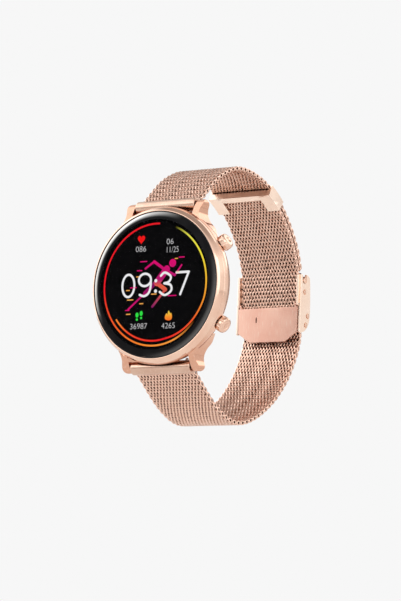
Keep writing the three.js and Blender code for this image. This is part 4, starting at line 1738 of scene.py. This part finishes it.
@dataclass
class Clasp:
    """The folding clasp: side walls, cross pins, lock plate, hinged cover and the hook bar."""

    wall_x: float = 10.5
    wall: float = 0.6
    hook: Pair = (51.5, 8.5)
    cover_pivot: Pair = (52.5, -4.7)
    lock_pivot: Pair = (49.3, 1.35)
    cross_pins: tuple[Pair, Pair] = ((51.6, 5.1), (53.5, -1.9))
    pin_hole: float = 0.45
    pin_seat: float = 0.85
    cover_half: float = 10.3

    def build(self) -> None:
        """Builds every piece of the clasp."""
        self.walls()
        names = ("cover_hinge_pin", "cross_pin_a", "cross_pin_b")
        for name, place in zip(names, (self.cover_pivot, *self.cross_pins)):
            self.pin(name, place)
        self.lock_plate()
        self.cover()
        self.hook_bar()

    def walls(self) -> None:
        """Two side walls with rounded guides, joined by a web under the cover."""
        edge = smooth_line([
            (52.9, 10.4), (54.3, 9.7), (54.75, 7.8), (55.0, 1.5), (54.8, -2.4), (54.0, -4.6), (52.2, -6.4),
            (49.6, -7.3)], 40)
        outline = [(49.5, 10.2), *[tuple(p) for p in edge], (49.1, -7.0)]
        walls = Model.plate("wall", outline, Facing.X, self.wall_x, self.wall_x + self.wall)
        guide_end = arc((49.3, 1.5), 0.7, 180, 360, 12)
        guide_line = [*guide_end, (50.0, 10.1), (48.6, 10.1)]
        guide = Model.plate("guide", guide_line, Facing.X, 9.9, self.wall_x + 0.05)
        y, z = self.hook
        slot = Model.plate("slot", [
            *arc((y, z), 1.0, 200, 340, 10), (y + 1.0, 12), (y - 1.4, 12)], Facing.X, 9, 12)
        walls.round_edges(0.14, 3, 45)
        guide.round_edges(0.2, 3, 45)
        walls.boolean("UNION", guide).boolean("DIFFERENCE", slot)
        for place in (self.cover_pivot, *self.cross_pins):
            hole = Model.rod("hole", (9, *place), (12, *place), self.pin_hole)
            seat = Model.rod("seat", (self.wall_x + 0.3, *place), (12, *place), self.pin_seat)
            walls.boolean("DIFFERENCE", hole, seat)
        walls.both_sides()
        web = Model.block("web", (-self.wall_x - 0.1, 53.1, -1.0), (self.wall_x + 0.1, 53.6, 6.4))
        walls.boolean("UNION", web.round_edges(0.1, 2))
        walls.obj.name = "clasp_walls"
        walls.shade(35).dress(PALE).settle("long_strap", "rose_satin", "clasp_body")

    def pin(self, name: str, place: Pair) -> None:
        """A pin with a head at each end, let into a seat in the wall.

        Args:
            name: the frame's name for it.
            place: its y and z.
        """
        cap = self.wall_x + self.wall
        head = Model.turned(name + "_riveted", [
            (0, -0.5), (0.4, -0.5), (0.4, cap - 0.3), (0.56, cap - 0.3), (0.56, cap + 0.1), (0.5, cap + 0.17),
            (0.3, cap + 0.19), (0, cap + 0.19)], 28)
        turn = Matrix.Rotation(-math.pi / 2, 4, "Z")
        head.obj.data.transform(Matrix.Translation((0, *place)) @ turn)
        head.both_sides().shade(35).dress(POLISHED).settle("long_strap", "rose_polished", name)

    def lock_plate(self) -> None:
        """A brushed plate with clipped corners, a gripping ridge, a small slot and two ears."""
        outline = [(-10.3, 0.55), (-10.3, -6.9), (-6.2, -9.7), (6.2, -9.7), (10.3, -6.9), (10.3, 0.55)]
        plate = Model.plate("lock_plate_brushed", outline, Facing.Y, 49.0, 49.5).round_edges(0.12, 2)
        ridge = Model.block("ridge", (-9, 49.4, -6.2), (9, 49.9, -5.2)).round_edges(0.15, 2)
        plate.boolean("UNION", ridge)
        y, z = self.lock_pivot
        for low in (9.3, -9.8):
            ear = Model.block("ear", (low, 49.0, 0), (low + 0.5, 49.5, z))
            ear.boolean("UNION", Model.rod("knuckle", (low, y, z), (low + 0.5, y, z), 0.42))
            plate.boolean("UNION", ear)
        plate.boolean(
            "DIFFERENCE", Model.block("slot", (-4.2, 48, -3.8), (-3.8, 51, -2.2)),
            Model.rod("bore", (-12, y, z), (12, y, z), 0.26),
        )
        plate.shade(35).dress(BRUSHED_LONG).settle("lock_lever", "rose_brushed", "lock_plate")

    def cover(self) -> None:
        """A bowed cover plate with a latch nose, hung on two ears."""
        outside = smooth_line([
            (53.4, 10.0), (54.5, 9.9), (55.3, 9.0), (55.6, 7.0), (55.75, 1.5), (55.55, -1.6),
            (55.0, -3.4)], 30)
        inside = smooth_line([
            (54.35, -3.2), (54.9, -1.6), (55.1, 1.5), (54.95, 7.0), (54.6, 8.6), (53.4, 9.3)], 24)
        section = [tuple(p) for p in (*outside, *inside)]
        shell = Model.plate("clasp_cover_plate", section, Facing.X, -self.cover_half, self.cover_half)
        nose = Model.block("nose", (-3, 52.6, 7.9), (3, 54.8, 9.2)).round_edges(0.2, 2)
        shell.boolean("UNION", nose)
        y, z = self.cover_pivot
        for low in (9.95, -10.35):
            ear = Model.plate("ear", [
                (y + 0.1, z + 0.75), (y + 0.6, z - 0.5), (54.6, -3.2), (55.1, -1.7), (54.45, -2.1)],
                Facing.X, low, low + 0.4)
            shell.boolean("UNION", ear, Model.rod("knuckle", (low, y, z), (low + 0.4, y, z), 0.8))
        shell.boolean("DIFFERENCE", Model.rod("bore", (-12, y, z), (12, y, z), 0.5))
        shell.round_edges(0.08, 2, 45).shade(35)
        shell.dress(BRUSHED_CROSS).settle("cover_flap", "rose_brushed", "clasp_cover")

    def hook_bar(self) -> None:
        """The bar on the short strap's end, carried by a small frame."""
        y, z = self.hook
        cap = self.wall_x + self.wall
        bar = Model.turned("hook_bar_frame", [
            (0, -0.5), (0.6, -0.5), (0.6, cap + 0.06), (0.85, cap + 0.06), (0.85, cap + 0.22),
            (0.78, cap + 0.29), (0.6, cap + 0.3), (0.56, cap + 0.2), (0.48, cap + 0.2), (0.44, cap + 0.3),
            (0, cap + 0.33)], 32)
        bar.obj.data.transform(Matrix.Translation((0, y, z)) @ Matrix.Rotation(-math.pi / 2, 4, "Z"))
        arm = Model.block("arm", (8.3, y - 0.6, z - 0.2), (9.6, y + 0.55, 10.9)).round_edges(0.15, 2)
        bar.boolean("UNION", arm).both_sides()
        cross = Model.block("cross", (-9.6, y - 0.6, 10.3), (9.6, y + 0.55, 10.9)).round_edges(0.15, 2)
        bar.gather(cross).shade(35).dress(POLISHED).settle("short_strap", "rose_polished", "hook_bar")


# ---------------------------------------------------------------- pieces that keep their frame shape

HIDDEN_WORKS: dict[str, Finish] = {
    "rose_polished": POLISHED, "rose_satin": SATIN, "rose_brushed": BRUSHED_CROSS, "woven_band": WIRE,
    "cover_glass": GLASS, "sensor_glass": WINDOW, "display_panel": PANEL, "black_rubber": RUBBER,
    "black_plastic": BACK_PLASTIC, "circuit_board": BOARD, "flex_film": FILM, "battery_foil": FOIL,
    "green_led": LAMP, "gold_contact": GOLD, "steel": STEEL,
}


def dress_frame_nodes() -> None:
    """Gives every node of the frame the finish of its material slot."""
    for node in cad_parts.values():
        finish = HIDDEN_WORKS[node.data.materials[0].name.split(".")[0]]
        node.data.materials.clear()
        node.data.materials.append(material_of(finish))


# ---------------------------------------------------------------- studio

@dataclass
class Studio:
    """A pale room with soft light and a camera in front of the dial, to its right and a little below.

    Angles are in degrees, camera distances in millimetres, and the floor is in metres.
    """

    azimuth: float = 33.377
    elevation: float = -7.228
    roll: float = 1.634
    distance: float = 688.46
    aim_right: float = 12.79
    aim_up: float = -4.489
    dial_y: float = -11.0
    lens: float = 148.6
    sensor: float = 36.0
    floor_z: float = -0.16
    backdrop: float = 0.93

    def build(self) -> None:
        """Sets up the room, the lights and the camera."""
        self.room()
        self.floor()
        self.light("key", (-0.55, -0.75, 0.75), 1.2, 4)
        self.light("fill", (0.9, -0.5, 0.25), 0.9, 2)
        self.light("back", (0.2, 0.9, 0.8), 1.0, 2.5)
        self.camera()

    def room(self) -> None:
        """Plain for the camera, with soft bright and dark stretches for the reflections."""
        bpy.context.scene.view_settings.view_transform = "Standard"
        world = bpy.data.worlds.new("studio")
        bpy.context.scene.world = world
        sheet = Sheet(world)
        direction = Signal(sheet, sheet.node("ShaderNodeTexCoord").outputs["Generated"])
        x, y, z = sheet.parts(direction)
        front_right = (x * 0.8 - y * 0.6).smooth(0.2, 0.95)
        back_right = (x * 0.55 + y * 0.83).smooth(0.4, 0.95)
        back_left = (y * 0.8 - x * 0.6).smooth(0.3, 0.9)
        upper = z.smooth(0.2, 0.4) * (1 - z.smooth(0.5, 0.75)) * 0.3 - z.smooth(0.75, 0.95) * 0.25
        window = (z * 0.3 - x * 0.95 + y * 0.1).smooth(0.72, 0.93) * 1.6
        level = 0.76 + front_right * 0.3 + back_right * 0.2 - back_left * 0.45 + upper + window
        tint = sheet.blend(level, (0.80, 0.66, 0.58), (1.0, 0.98, 0.95))
        seen = sheet.node("ShaderNodeBackground", {}, {"Color": (1, 1, 1, 1), "Strength": self.backdrop})
        lit = sheet.node("ShaderNodeBackground", {}, {"Color": tint, "Strength": level})
        ray = sheet.node("ShaderNodeLightPath").outputs["Is Camera Ray"]
        mix = sheet.node("ShaderNodeMixShader", {}, {0: Signal(sheet, ray)})
        sheet.tree.links.new(lit.outputs[0], mix.inputs[1])
        sheet.tree.links.new(seen.outputs[0], mix.inputs[2])
        output = sheet.node("ShaderNodeOutputWorld")
        sheet.tree.links.new(mix.outputs[0], output.inputs["Surface"])

    def floor(self) -> None:
        """A plain pale floor well below the watch."""
        bpy.ops.object.select_all(action="DESELECT")
        bpy.ops.mesh.primitive_plane_add(size=6, location=(0, 0, self.floor_z))
        plane = bpy.context.object
        plane.name = "floor"
        material = bpy.data.materials.new("pale_floor")
        Sheet(material).surface(Base_Color=(0.82, 0.81, 0.80), Roughness=0.7)
        plane.data.materials.append(material)

    def light(self, name: str, place: Triple, size: float, power: float) -> None:
        """A square soft light that points at the watch.

        Args:
            name: the lamp's name.
            place: where it stands, in metres.
            size: its side, in metres.
            power: in watts.
        """
        bpy.ops.object.light_add(type="AREA", location=place)
        lamp = bpy.context.object
        lamp.name = name
        lamp.data.size = size
        lamp.data.energy = power
        lamp.rotation_euler = Vector(place).to_track_quat("Z", "Y").to_euler()

    def camera(self) -> None:
        """Places the camera by its angles round the dial."""
        az, el, roll = (math.radians(a) for a in (self.azimuth, self.elevation, self.roll))
        right = Vector((math.cos(az), math.sin(az), 0))
        back = Vector((math.sin(az) * math.cos(el), -math.cos(az) * math.cos(el), math.sin(el)))
        up = back.cross(right)
        tilted_right = right * math.cos(roll) + up * math.sin(roll)
        tilted_up = up * math.cos(roll) - right * math.sin(roll)
        place = back * self.distance + tilted_right * self.aim_right + tilted_up * self.aim_up
        place += Vector((0, self.dial_y, 0))
        turn = Matrix((tilted_right, tilted_up, back)).transposed().to_4x4()
        bpy.ops.object.camera_add()
        camera = bpy.context.object
        camera.matrix_world = Matrix.Translation(place * MM) @ turn
        camera.data.sensor_width = self.sensor
        camera.data.lens = self.lens
        camera.data.clip_start = 0.01
        bpy.context.scene.camera = camera


def main() -> None:
    """Builds the watch from the front to the clasp, then the studio."""
    logging.basicConfig(level=logging.INFO, format="%(name)s %(message)s")
    dress_frame_nodes()
    FrontGlass().build()
    DialFace().build()
    MidCase().build()
    CaseBack().build()
    for side, angle in PUSHER_ANGLES.items():
        PushButton(side, angle).build()
    Straps().build()
    Clasp().build()
    Studio().build()


if __name__ == "__main__":
    main()
